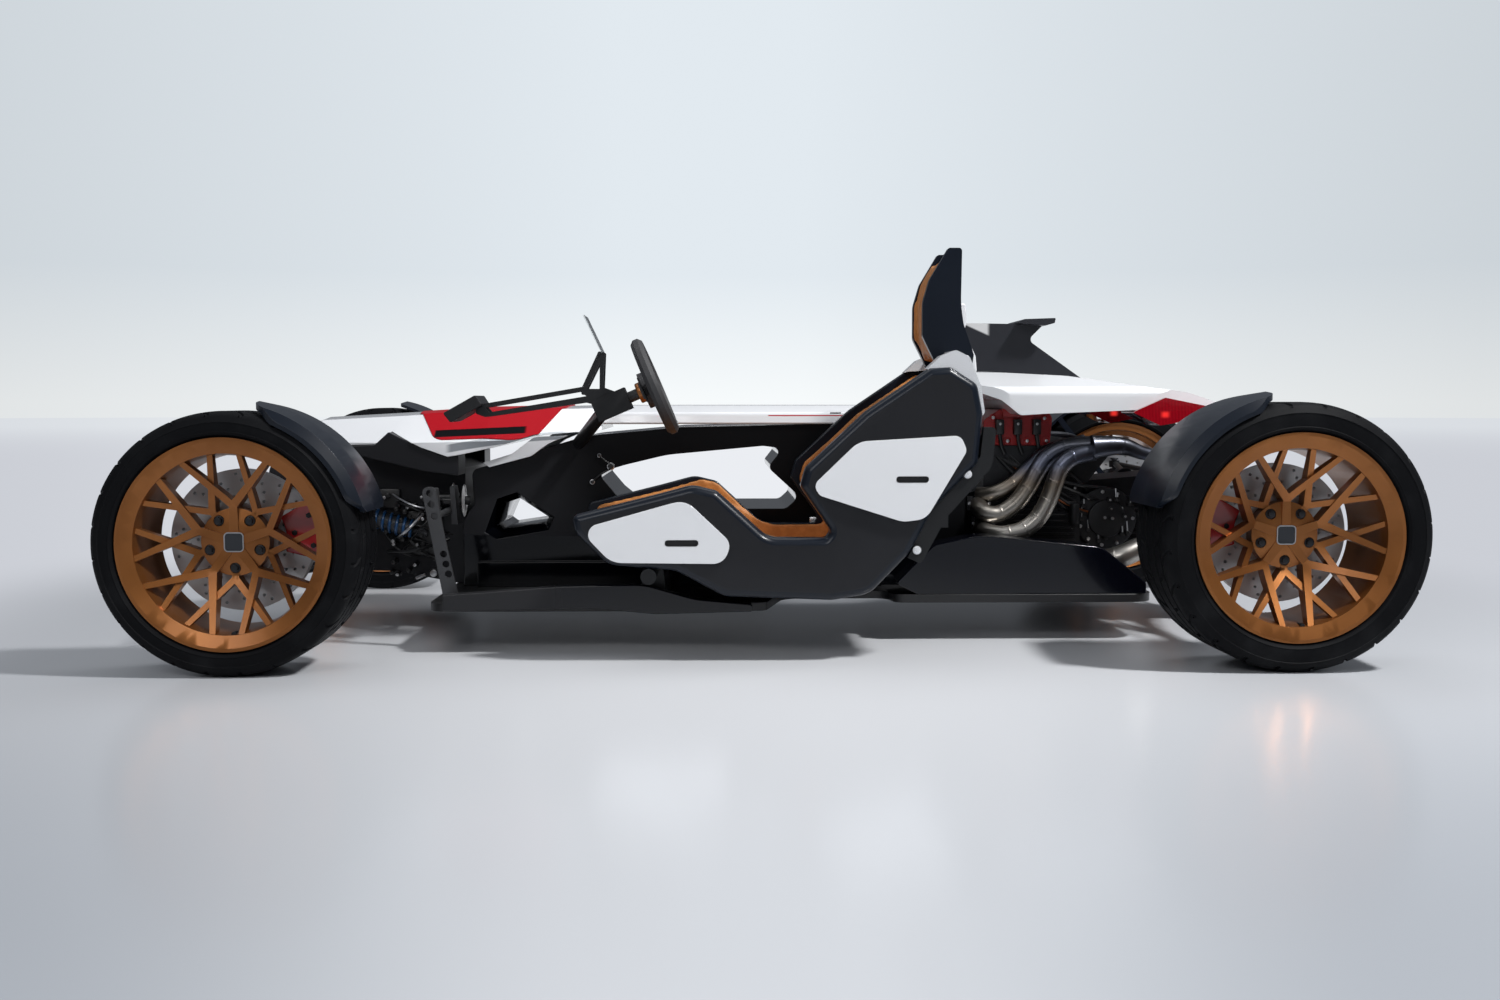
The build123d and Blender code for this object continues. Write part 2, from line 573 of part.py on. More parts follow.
# Dampers: the front pair lies along the tub, the rear pair stands beside the gearbox
front_damper = coil_over((-1165, tub_half_width + 24, 345), (-900, tub_half_width + 24, 262))
front_damper += rod((-1150, tub_half_width - 1, 340), (-1150, tub_half_width + 30, 340), 15)
front_damper += rod((-915, tub_half_width - 1, 267), (-915, tub_half_width + 30, 267), 13)
front_damper += rod((-1150, tub_half_width + 24, 340), (front_axle_x + 26, front_kingpin_y - 120, 206), 7)
rear_damper = coil_over((1163, 440, 222), (1100, final_drive_half_width + 14, 415))
nodes["dampers"] = group([d - nose_tub - engine - nodes["front_wishbones"] - nodes["rear_wishbones"]
                          for d in (front_damper, mirrored(front_damper), rear_damper, mirrored(rear_damper))])

# Seat: a deep one-piece tub, lined, with white panels let into its flanks
shell_corners = [
    (-458, 352, 14), (-452, 313, 40), (-373, 235, 60), (-216, 222, 80), (-100, 160, 60), (155, 150, 60),
    (245, 164, 70), (340, 262, 90), (395, 368, 90), (500, 475, 20), (511, 591, 60), (497, 662, 30), (434, 702, 20),
    (384, 699, 8), (232, 596, 120), (92, 465, 25), (79, 420, 18), (152, 315, 14), (140, 299, 12), (4, 299, 60),
    (-117, 410, 30), (-175, 424, 60), (-265, 400, 100)]
cavity_corners = [
    (-500, 300, 0), (-400, 285, 100), (-170, 345, 80), (-60, 262, 60), (20, 200, 60), (200, 195, 50), (240, 225, 40),
    (300, 400, 60), (400, 560, 80), (455, 720, 0), (300, 780, 0), (0, 760, 0), (-200, 500, 0), (-500, 450, 0)]
liner_corners = [
    (-520, 325, 0), (-395, 312, 100), (-165, 372, 80), (-45, 282, 60), (30, 226, 50), (180, 221, 30), (215, 245, 30),
    (272, 405, 60), (372, 570, 80), (425, 740, 0), (300, 790, 0), (0, 770, 0), (-220, 520, 0), (-520, 470, 0)]
half_seat = seat_width / 2
seat_left, seat_right = seat_centre_y - half_seat, seat_centre_y + half_seat
shell_solid = prism_y(shell_corners, seat_left, seat_right)
rims = [e for e in shell_solid.edges() if abs(abs(e.center().Y - seat_centre_y) - half_seat) < 1]
shell_solid = fillet(rims, seat_edge_radius)
cavity = prism_y(cavity_corners, seat_left + seat_wall, seat_right - seat_wall)
seat_shell = shell_solid - cavity
nodes["seat_shell"] = seat_shell
inset = seat_wall + liner_thickness
set_back = Pos(liner_set_back, 0, -liner_set_down) * prism_y(shell_corners, seat_left, seat_right)
nodes["seat_liner"] = (shell_solid & cavity & set_back) - prism_y(
    liner_corners, seat_left + inset, seat_right - inset)


def seat_panel(corners, slot_x, slot_z, slot_length, side):
    """A raised panel on the seat's flank with a round-ended slot through it."""
    y = seat_left - seat_panel_thickness if side < 0 else seat_right
    half = slot_length / 2
    slot = [(slot_x - half, slot_z - 7, 6), (slot_x + half, slot_z - 7, 6), (slot_x + half, slot_z + 7, 6),
            (slot_x - half, slot_z + 7, 6)]
    return prism_y(corners, y, y + seat_panel_thickness) - prism_y(slot, y - 1, y + seat_panel_thickness + 1)


front_panel = [(-440, 322, 25), (-365, 243, 60), (-100, 240, 36), (-84, 290, 30), (-190, 390, 50), (-225, 382, 60)]
back_panel = [(108, 424, 20), (125, 400, 20), (320, 338, 60), (375, 345, 45), (470, 505, 20), (455, 541, 22),
              (215, 527, 60)]
nodes["seat_panels"] = group([
    panel for side in (-1, 1) for panel in (
        seat_panel(front_panel, -200, 289, 78, side), seat_panel(back_panel, 342, 438, 76, side))])

# Shoulder collar and headrest
collar = prism_y([
    (378, 697, 0), (411, 728, 10), (446, 742, 12), (479, 726, 12), (507, 655, 30), (516, 595, 10), (508, 585, 0),
    (480, 600, 0)], seat_left + 15, seat_right - 15) - shell_solid
collar -= box(300, 440, seat_left + 70, seat_right - 70, 600, 800)
nodes["shoulder_collar"] = group([max(collar.solids(), key=lambda solid: solid.volume)])
half_head = headrest_width / 2
head_left, head_right = seat_centre_y - half_head, seat_centre_y + half_head
head_solid = prism_y([
    (448, 994, 8), (481, 994, 8), (479, 856, 300), (486, 810, 60), (512, 735, 0), (505, 690, 0), (430, 690, 0),
    (386, 778, 30), (386, 862, 60), (402, 917, 40)], head_left, head_right) - [collar, shell_solid]
head_cavity = prism_y(plain([(340, 690), (452, 690), (440, 800), (438, 860), (462, 1000), (340, 1000)]),
                      head_left + headrest_wall, head_right - headrest_wall)
pad_front = prism_y(plain([(300, 680), (432, 680), (416, 800), (414, 860), (440, 1010), (300, 1010)]),
                    head_left + headrest_wall + 14, head_right - headrest_wall - 14)
nodes["headrest"] = head_solid - head_cavity
nodes["headrest_pad"] = (head_solid & head_cavity & Pos(liner_set_back, 0, 0) * head_solid) - pad_front

# Seat brackets: an arm from the spine to the seat's back, a foot on the floor, and the pivot knob
strap_corners = [(336, 250, 0), (390, 366, 60), (480, 458, 0), (507, 490, 0), (515, 560, 0), (545, 560, 10),
                 (536, 466, 60), (428, 346, 60), (368, 235, 10)]
strap = prism_y(strap_corners, seat_left + 20, seat_left + 20 + strap_width)
far_strap = prism_y(strap_corners, seat_right - 20 - strap_width, seat_right - 20)
cross_bars = box(512, 540, seat_left + 20, -frame_half_width, 505, 540)
cross_bars += box(402, 432, seat_left + 20, -frame_half_width, 322, 350)
back_frame = (strap + far_strap + cross_bars) - shell_solid
foot = prism_y(plain([(-310, floor_top), (-240, floor_top), (-255, 240), (-295, 240)]), 5 - floor_half_width,
               -frame_half_width - sill_width) - shell_solid
knob = rod((-279, seat_left + 12, 207), (-279, 25 - floor_half_width, 207), 19) - shell_solid
nodes["seat_brackets"] = group([max(back_frame.solids(), key=lambda solid: solid.volume), foot + knob])

# Steering wheel: a thick grip on a hub plate with three spokes, shifter paddles behind it
wheel_centre = Vector(-271, seat_centre_y, 658)
column_tilt = 23.2
wheel_plane = Plane(origin=wheel_centre, x_dir=(0, 1, 0), z_dir=(cos(radians(column_tilt)), 0, sin(radians(column_tilt))))
outer, grip = steering_wheel_radius, steering_grip_width
grip_section = [(outer - grip, -6), (outer - grip, 6), (outer - grip + 9, grip / 2), (outer - 9, grip / 2),
                (outer, 6), (outer, -6), (outer - 9, -grip / 2), (outer - grip + 9, -grip / 2)]
ring = revolve(make_face(Polyline([(r, 0, z) for r, z in grip_section], close=True)), Axis.Z, 360)
wheel_parts = [
    ring, Pos(0, 0, -18) * Cylinder(46, 26), Pos(0, 0, -10) * Box(2 * (outer - grip + 6), 36, 9),
    Pos(0, -(outer - grip) / 2, -10) * Box(36, outer - grip + 6, 9), Pos(0, 0, -56) * Cylinder(14, 60)]
paddles = [Pos(side * 64, 0, -32) * Box(52, 40, 4) for side in (-1, 1)]
hand_wheel = wheel_parts[0]
for piece in wheel_parts[1:] + paddles:
    hand_wheel += piece
nodes["steering_wheel"] = wheel_plane * hand_wheel

# Column housing, and the beam that carries it on the spine
bore = Pos(0, 0, -80) * Cylinder(14 + running_gap, 60)
housing = Pos(0, 0, -116) * Box(70, 56, 90)
beam = rod((-400, seat_centre_y, 596), (-492, -frame_half_width + 20, 505), 17)
column = (wheel_plane * (housing - bore)) + (beam - wheel_plane * bore) - spine - spine_cover - cowl
nodes["steering_column"] = column

# Instrument frame: two cut plates ahead of the column, joined by cross pins, with the screen's stand
truss_plate = prism_y([
    (-712, 612, 0), (-450, 657, 0), (-409, 745, 4), (-394, 742, 4), (-398, 655, 0), (-370, 645, 0), (-385, 628, 0),
    (-430, 615, 0), (-440, 618, 0), (-690, 582, 0), (-712, 590, 0)], 0, truss_thickness)
for opening in ([(-690, 605), (-455, 645), (-440, 634), (-680, 594)], [(-438, 652), (-407, 652), (-406, 716)]):
    truss_plate -= prism_y(plain(opening), -1, truss_thickness + 1)
display = prism_y([(-788, 592, 4), (-708, 637, 5), (-692, 612, 5), (-770, 569, 4)], seat_centre_y - 70,
                  seat_centre_y + 70)
truss = [Pos(0, seat_centre_y + y, 0) * truss_plate for y in (-truss_half_width, truss_half_width - truss_thickness)]
pins = [rod((x, seat_centre_y - truss_half_width, z), (x, seat_centre_y + truss_half_width, z), 4)
        for x, z in ((-701, 600), (-448, 641), (-402, 736))]
frame_piece = truss[0] + truss[1]
for pin in pins:
    frame_piece += pin
nodes["display"] = display
nodes["dash_truss"] = frame_piece - display - column
nodes["small_screen"] = prism_y(plain([(-401, 741), (-398, 740), (-442, 833), (-445, 832)]), seat_centre_y - 60,
                                seat_centre_y + 60) - nodes["dash_truss"]

# Pedal box: a drilled plate that stands on the floor, a cross shaft from the tub, and two hanging pedals
pedal_y = -360.0
plate = prism_y([(-853, 408, 14), (-818, 408, 14), (-800, 301, 0), (-762, floor_top, 0), (-800, floor_top, 0)],
                pedal_plate_y, pedal_plate_y + 10)
for x, z in ((-833, 392), (-829, 365), (-821, 335), (-800, 240), (-794, 215), (-788, 190)):
    plate -= rod((x, pedal_plate_y - 1, z), (x, pedal_plate_y + 11, z), 9)
pedals = rod((-818, pedal_plate_y + 5, 335), (-818, -tub_half_width, 335), 9)
for y, x in ((pedal_y - 70, -835), (pedal_y + 50, -806)):
    pedals += prism_y([(x - 4, 300, 0), (x + 12, 300, 0), (x + 4, 400, 4), (x - 8, 400, 4)], y - 28, y + 28)
nodes["pedal_box"] = (plate + pedals) - spine

os.makedirs("parts", exist_ok=True)
for name, shape in nodes.items():
    export_step(shape, f"parts/{name}.step")
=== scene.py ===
import math
import random

import bmesh
import bpy
from mathutils import Matrix, Vector


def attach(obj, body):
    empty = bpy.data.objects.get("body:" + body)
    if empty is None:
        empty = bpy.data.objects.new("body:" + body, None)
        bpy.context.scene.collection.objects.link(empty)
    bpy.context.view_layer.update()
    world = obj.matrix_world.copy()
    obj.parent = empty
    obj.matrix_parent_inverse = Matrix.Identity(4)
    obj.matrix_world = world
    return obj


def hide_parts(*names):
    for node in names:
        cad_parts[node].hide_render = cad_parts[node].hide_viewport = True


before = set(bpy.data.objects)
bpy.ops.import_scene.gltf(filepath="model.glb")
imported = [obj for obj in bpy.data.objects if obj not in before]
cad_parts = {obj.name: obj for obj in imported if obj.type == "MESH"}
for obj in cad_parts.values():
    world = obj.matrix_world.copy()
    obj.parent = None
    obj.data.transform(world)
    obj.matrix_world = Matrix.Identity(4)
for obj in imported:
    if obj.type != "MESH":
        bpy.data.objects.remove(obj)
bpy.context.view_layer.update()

# The studio: the camera stands low and square to the car's left side, as the photographer's did.
# The floor is a pale glossy sweep whose far edge fades into the backdrop; its colour holds painted shade at
# the sides and near the camera, and its far part glows with painted light.
camera = bpy.data.objects.new("camera", bpy.data.cameras.new("camera"))
camera.data.lens = 35.77
camera.location = (-0.1253, -4.2442, 0.6197)
camera.rotation_euler = (math.radians(86.234), 0, math.radians(-1.411))
bpy.context.scene.collection.objects.link(camera)
bpy.context.scene.camera = camera
bpy.context.scene.view_settings.view_transform = "Standard"


class Reading:
    """One socket of a finish, so that sums on it can be written as plain arithmetic."""

    def __init__(self, finish, socket):
        self.finish, self.socket = finish, socket

    def sum(self, operation, *values, **settings):
        return self.finish.node("Math", {"operation": operation, **settings}, dict(enumerate(values)))

    def __add__(self, other):
        return self.sum("ADD", self, other)

    def __sub__(self, other):
        return self.sum("SUBTRACT", self, other)

    def __rsub__(self, other):
        return self.sum("SUBTRACT", other, self)

    def __mul__(self, other):
        return self.sum("MULTIPLY", self, other)

    def __truediv__(self, other):
        return self.sum("DIVIDE", self, other)

    __radd__, __rmul__ = __add__, __mul__

    def step(self, low, high):
        """0 below low, 1 above high, smooth between; reversed where low is the larger."""
        start, end = (1.0, 0.0) if low > high else (0.0, 1.0)
        return self.finish.node("MapRange", {"interpolation_type": "SMOOTHSTEP"}, {
            0: self, 1: min(low, high), 2: max(low, high), 3: start, 4: end})

    def wave(self, turns=1.0):
        return self.sum("SINE", self * (turns * math.tau))

    def size(self):
        return self.sum("ABSOLUTE", self)


class Nodes:
    """A node tree, with one method that adds any node to it."""

    def __init__(self, tree):
        self.tree = tree

    def feed(self, socket, value):
        if isinstance(value, Reading):
            self.tree.links.new(value.socket, socket)
        else:
            socket.default_value = value

    def node(self, kind, settings=None, inputs=None, give=0):
        made = self.tree.nodes.new("ShaderNode" + kind)
        for key, value in (settings or {}).items():
            if key == "stops":
                for place, colour in value[2:]:
                    made.color_ramp.elements.new(place)
                for element, (place, colour) in zip(made.color_ramp.elements, value):
                    element.position, element.color = place, (*colour, 1)
            else:
                setattr(made, key, value)
        for key, value in (inputs or {}).items():
            self.feed(made.inputs[key], value)
        return Reading(self, made.outputs[give])

    def place(self, frame_of="Object"):
        """X, Y and Z: on the piece in metres, or with Generated the direction of view of the room."""
        parts = self.tree.nodes.new("ShaderNodeSeparateXYZ")
        self.feed(parts.inputs[0], self.node("TexCoord", give=frame_of))
        return [Reading(self, socket) for socket in parts.outputs]

    def noise(self, scale, detail=3.0, stretch=(1, 1, 1)):
        where = self.node("Mapping", None, {"Vector": self.node("TexCoord", give="Object"), "Scale": stretch})
        return self.node("TexNoise", None, {"Vector": where, "Scale": scale, "Detail": detail}, "Fac")

    def cells(self, scale):
        where = self.node("TexCoord", give="Object")
        return self.node("TexVoronoi", None, {"Vector": where, "Scale": scale}, "Distance")

    def mixed(self, share, first, second):
        first, second = [(*c, 1.0) if isinstance(c, tuple) and len(c) == 3 else c for c in (first, second)]
        return self.node("Mix", {"data_type": "RGBA"}, {0: share, 6: first, 7: second}, 2)


class Finish(Nodes):
    """A material with one shader."""

    def __init__(self, name, colour=(0.8, 0.8, 0.8), **sockets):
        self.material = bpy.data.materials.new(name)
        self.material.use_nodes = True
        super().__init__(self.material.node_tree)
        self.shader = self.tree.nodes["Principled BSDF"]
        self.set(Base_Color=(*colour, 1.0), **sockets)

    def set(self, **sockets):
        for name, value in sockets.items():
            self.feed(self.shader.inputs[name.replace("_", " ")], value)

    def bump(self, height, depth):
        self.set(Normal=self.node("Bump", None, {"Height": height, "Distance": depth, "Strength": 1.0}))


floor_mesh = bmesh.new()
bmesh.ops.create_circle(floor_mesh, cap_ends=True, segments=96, radius=60)
floor = bpy.data.objects.new("floor_sweep", bpy.data.meshes.new("floor_sweep"))
floor_mesh.to_mesh(floor.data)
bpy.context.scene.collection.objects.link(floor)
sweep = Finish("floor_sweep", Roughness=0.20, Specular_IOR_Level=0.45)
along, across, _ = sweep.place()
# Painted shade: the floor's base colour darkens towards the sides of the view and nearer the camera.
side_shade = ((along + 0.125) / (across + 4.25).sum("MAXIMUM", across + 4.25, 0.4)).size().step(0.06, 0.50)
side_shade = side_shade * across.step(-4.1, -2.8)
close_by = sweep.mixed(side_shade, (0.51, 0.525, 0.55), (0.34, 0.36, 0.39))
further = sweep.mixed(side_shade, (0.70, 0.71, 0.735), (0.54, 0.555, 0.585))
sweep.set(Base_Color=sweep.mixed(across.step(-2.7, -0.7), close_by, further))
reach = (along * along + across * across).sum("SQRT", along * along + across * across)
# Painted light: the far floor glows, brighter towards the horizon, and fades in behind and beside the car.
horizon = sweep.mixed(reach.step(12.0, 40.0), (0.83, 0.85, 0.89), (0.93, 0.96, 0.97))
sides = sweep.mixed(reach.step(12.0, 40.0), (0.60, 0.62, 0.67), (0.70, 0.73, 0.77))
far_glow = sweep.node("Emission", None, {"Color": sweep.mixed(side_shade, horizon, sides), "Strength": 1.0})
behind = across.step(0.3, 2.4)
beside = along.size().step(1.7, 2.9)
fade = behind + beside - behind * beside
joined = sweep.node("MixShader", None, {0: fade, 1: Reading(sweep, sweep.shader.outputs[0]), 2: far_glow})
sweep.feed(sweep.tree.nodes["Material Output"].inputs[0], joined)
floor.data.materials.append(sweep.material)

# The lights: a cool room light all round, a large lamp up to the right that throws the shadows left, and a
# long soft lamp over the car for the highlights along its edges.
world = bpy.data.worlds.new("room")
bpy.context.scene.world = world
world.use_nodes = True
room = Nodes(world.node_tree)
aside, _, up = room.place("Generated")


def span(value, low, high):
    """0 at low and 1 at high, straight between."""
    return room.node("MapRange", None, {"Value": value, "From Min": low, "From Max": high})


# The backdrop that the camera sees holds painted light, brighter towards the horizon, and painted shade,
# darker to the sides.
sky = room.node("ValToRGB", {"stops": [(0.0, (0.93, 0.96, 0.97)), (0.30, (0.76, 0.82, 0.87))]},
                {0: span(up, 0.0, 0.28)})
shade = room.node("Mix", {"data_type": "RGBA", "blend_type": "MULTIPLY"}, {
    0: span(aside.size(), 0.06, 0.46), 6: sky, 7: (0.80, 0.80, 0.80, 1)}, 2)
ambient = room.node("ValToRGB", {"stops": [(0.0, (0.105, 0.112, 0.125)), (1.0, (0.30, 0.32, 0.35))]},
                    {0: span(up, 0.05, 0.75)})
rays = [room.node("LightPath", give=kind) for kind in ("Is Camera Ray", "Is Transmission Ray")]
seen = rays[0].sum("MAXIMUM", *rays)
room.feed(room.tree.nodes["Background"].inputs["Color"], room.mixed(seen, ambient, shade))
for name, place, aim, width, length, power in (
        ("key_lamp", (3.4, -2.4, 5.4), (0, 0, 0.2), 0.6, 0.6, 490),
        ("overhead_lamp", (-0.4, 0.8, 4.4), (0, 0, 0.3), 6.5, 1.3, 56),
        ("side_lamp", (-2.2, -5.2, 3.4), (-0.2, 0, 0.4), 4.0, 1.2, 74)):
    lamp = bpy.data.objects.new(name, bpy.data.lights.new(name, "AREA"))
    lamp.data.shape = "RECTANGLE"
    lamp.data.size, lamp.data.size_y = width, length
    lamp.data.energy = power
    lamp.location = place
    lamp.rotation_euler = (Vector(aim) - Vector(place)).to_track_quat("-Z", "Y").to_euler()
    bpy.context.scene.collection.objects.link(lamp)

# Tyres: wide low-profile road tyres in plain black rubber, moulded in one piece and stretched over the rims.
# Four grooves run round the tread, slanted grooves cross each shoulder, and fine rings mark the sidewall.
def piece(bm, name, finishes, body, slot, stands_for=(), soft=35.0):
    """A finished mesh that rides on a body, smooth but for edges of more than soft degrees."""
    mesh = bpy.data.meshes.new(name)
    bm.to_mesh(mesh)
    bm.free()
    for finish in finishes:
        mesh.materials.append(finish.material)
    mesh.shade_smooth()
    mesh.set_sharp_from_angle(angle=math.radians(soft))
    made = bpy.data.objects.new(name, mesh)
    bpy.context.scene.collection.objects.link(made)
    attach(made, body)
    if stands_for:
        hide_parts(*stands_for)
    return made


def closed(bm, *row):
    """A piece built here, as opposed to the frame's, with its faces turned outwards."""
    bmesh.ops.recalc_face_normals(bm, faces=bm.faces)
    piece(bm, *row)


def turned(bm, section, centre, steps, arc=math.tau, start=0.0, close=True):
    """A section of (radius, y) points spun about the Y axis through centre."""
    spot = Vector(centre)
    spin = Matrix.Rotation(start, 3, "Y")
    made = [bm.verts.new(spot + spin @ Vector((radius, 0, 0)) + Vector((0, y, 0))) for radius, y in section]
    ends = made[1:] + made[:1] if close else made[1:]
    edges = [bm.edges.new(pair) for pair in zip(made, ends)]
    whole = abs(arc - math.tau) < 1e-6
    swept = bmesh.ops.spin(bm, geom=made + edges, cent=spot, axis=(0, 1, 0), angle=arc, steps=steps,
                           use_merge=whole)
    if not whole and close:
        ending = [e for e in swept["geom_last"] if isinstance(e, bmesh.types.BMEdge)]
        bmesh.ops.contextual_create(bm, geom=edges)
        bmesh.ops.contextual_create(bm, geom=ending)


rubber = Finish("tyre_rubber", (0.006, 0.0064, 0.0075), Roughness=0.6, Specular_IOR_Level=0.06)
dust = rubber.noise(9.0, 5.0)
rubber.set(Base_Color=rubber.mixed(dust.step(0.45, 0.75), (0.004, 0.0042, 0.005), (0.009, 0.0094, 0.0105)),
           Roughness=0.46 + dust * 0.22)
rubber.bump(rubber.noise(900.0, 2.0), 0.0002)
car_half, hub_depth, steps = 0.910, 0.045, 168
front_x, rear_x, front_radius, rear_radius = -1.22, 1.21, 0.300, 0.310
dishes = {"front": 0.084, "rear": 0.097}
corners = {}
for end, axle_x, radius, width in (("front", front_x, front_radius, 0.228),
                                   ("rear", rear_x, rear_radius, 0.270)):
    for side, way in (("left", -1), ("right", 1)):
        wheel_y = way * (car_half - width / 2)
        corners[end, side] = ((axle_x, wheel_y, radius), width, way)
        half = width / 2
        bead = half - 0.0143
        wall = [(0.2186, bead), (0.2425, bead), (0.2440, bead + 0.003), (0.2475, half - 0.004),
                (0.2520, half - 0.0012), (0.2530, half - 0.0003), (0.2545, half - 0.0012),
                (0.2620, half - 0.0002)]
        wall += [(radius - drop, half - inset) for drop, inset in (
            (0.026, 0.0004), (0.0245, -0.0008), (0.0225, 0.0012), (0.0130, 0.0055), (0.0060, 0.0120),
            (0.0018, 0.0200), (0.0004, 0.0300))]
        groove_half, groove_depth = 0.0045, 0.0062
        tread = []
        for middle in (0.29, 0.10):
            g = width * middle
            tread += [(radius, g + groove_half + 0.001), (radius - groove_depth, g + groove_half - 0.001),
                      (radius - groove_depth, g - groove_half + 0.001), (radius, g - groove_half - 0.001)]
        whole = wall + tread
        whole += [(r, -w) for r, w in reversed(whole)]
        bm = bmesh.new()
        turned(bm, whole, (axle_x, wheel_y, radius), steps)
        hub = Vector((axle_x, wheel_y, radius))
        blocks = []
        for face in bm.faces:
            away = face.calc_center_median() - hub
            around = math.hypot(away.x, away.z)
            turn = round((math.atan2(away.z, away.x) / math.tau * steps) + 0.5) % 7
            if around > radius - 0.0125 and abs(away.y) > width * 0.29 + 0.006:
                if turn == 0:
                    blocks.append(face)
            elif around > radius - 0.0005 and width * 0.10 + 0.006 < abs(away.y) < width * 0.29 - 0.006:
                if turn == 3:
                    blocks.append(face)
        bmesh.ops.inset_region(bm, faces=blocks, thickness=0.0022, depth=-0.0040, use_even_offset=True)
        for vert in bm.verts:
            away = vert.co - hub
            around = math.hypot(away.x, away.z)
            slant = 0.5 * (abs(away.y) / half) ** 2 * (1 if around > radius - 0.03 else 0)
            slant *= min(1.0, (around - radius + 0.03) / 0.02)
            vert.co = hub + Matrix.Rotation(slant * 0.35, 3, "Y") @ away
        closed(bm, f"tyre_{end}_{side}", [rubber], f"wheel_{end}_{side}", "tyre", [f"{end}_tyre_{side}"], 24)

# Rims: one-piece forged wheels with ten forked spokes, turned lips and a satin copper lacquer.
# The face is machined first and then lacquered, so the spokes' edges stay crisp and catch the light.
def merged(node):
    """A copy of the frame's solid with its loose triangles joined."""
    bm = bmesh.new()
    bm.from_mesh(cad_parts[node].data)
    bmesh.ops.remove_doubles(bm, verts=bm.verts, dist=0.00002)
    bmesh.ops.dissolve_limit(bm, angle_limit=math.radians(0.8), verts=bm.verts, edges=bm.edges)
    return bm


def softened(node, name, finishes, edge, body, slot, segments=2, soft=32.0, paint=None, limit=28.0):
    """The frame's solid with its edges rounded; paint(centre, normal) picks a finish for each face."""
    bm = merged(node)
    if paint:
        for face in bm.faces:
            face.material_index = paint(face.calc_center_median(), face.normal)
    made = piece(bm, name, finishes, body, slot, [node], soft)
    for spare in [a.name for a in made.data.attributes if a.name.startswith("custom_normal")]:
        made.data.attributes.remove(made.data.attributes[spare])
    if edge:
        rounded = made.modifiers.new("rounded_edges", "BEVEL")
        rounded.width, rounded.segments = edge, segments
        rounded.limit_method, rounded.angle_limit = "ANGLE", math.radians(limit)
        rounded.harden_normals = True
    return made


copper = Finish("copper_lacquer", (0.24, 0.085, 0.018), Metallic=0.8, Roughness=0.38, Coat_Weight=0.25,
                Coat_Roughness=0.25)
flake = copper.noise(700.0, 1.0)
clouds = copper.noise(6.0).step(0.3, 0.7)
copper.set(Base_Color=copper.mixed(clouds, (0.225, 0.078, 0.016), (0.29, 0.105, 0.024)),
           Roughness=0.30 + flake * 0.14)
copper.bump(flake, 0.00006)
bolt_black = Finish("black_bolt", (0.02, 0.02, 0.022), Metallic=0.6, Roughness=0.38)
bolt_black.set(Roughness=0.28 + bolt_black.noise(120.0) * 0.2)
plain_steel = Finish("bright_steel", (0.46, 0.46, 0.47), Metallic=1.0, Roughness=0.3)
plain_steel.set(Roughness=0.22 + plain_steel.noise(90.0) * 0.2)
cap_grey = Finish("cap_anodised", (0.055, 0.058, 0.064), Metallic=0.9, Roughness=0.32)
cap_grey.set(Roughness=0.24 + cap_grey.noise(60.0) * 0.18)


def stub(bm, centre, way, radius, length, sides, lip=0.0):
    """A short round or many-sided boss that points along Y, with its outer rim bevelled."""
    turn = Matrix.Translation(centre) @ Matrix.Rotation(math.radians(-90 * way), 4, "X")
    made = bmesh.ops.create_cone(
        bm, cap_ends=True, segments=sides, radius1=radius, radius2=radius, depth=length,
        matrix=turn @ Matrix.Translation((0, 0, length / 2)))["verts"]
    if lip:
        tips = [v for v in made if (v.co - Vector(centre)).y * way > length * 0.5]
        rims = {e for v in tips for e in v.link_edges if all(w in tips for w in e.verts)}
        bmesh.ops.bevel(bm, geom=list(rims), offset=lip, segments=2, affect="EDGES", profile=0.5, material=-1)


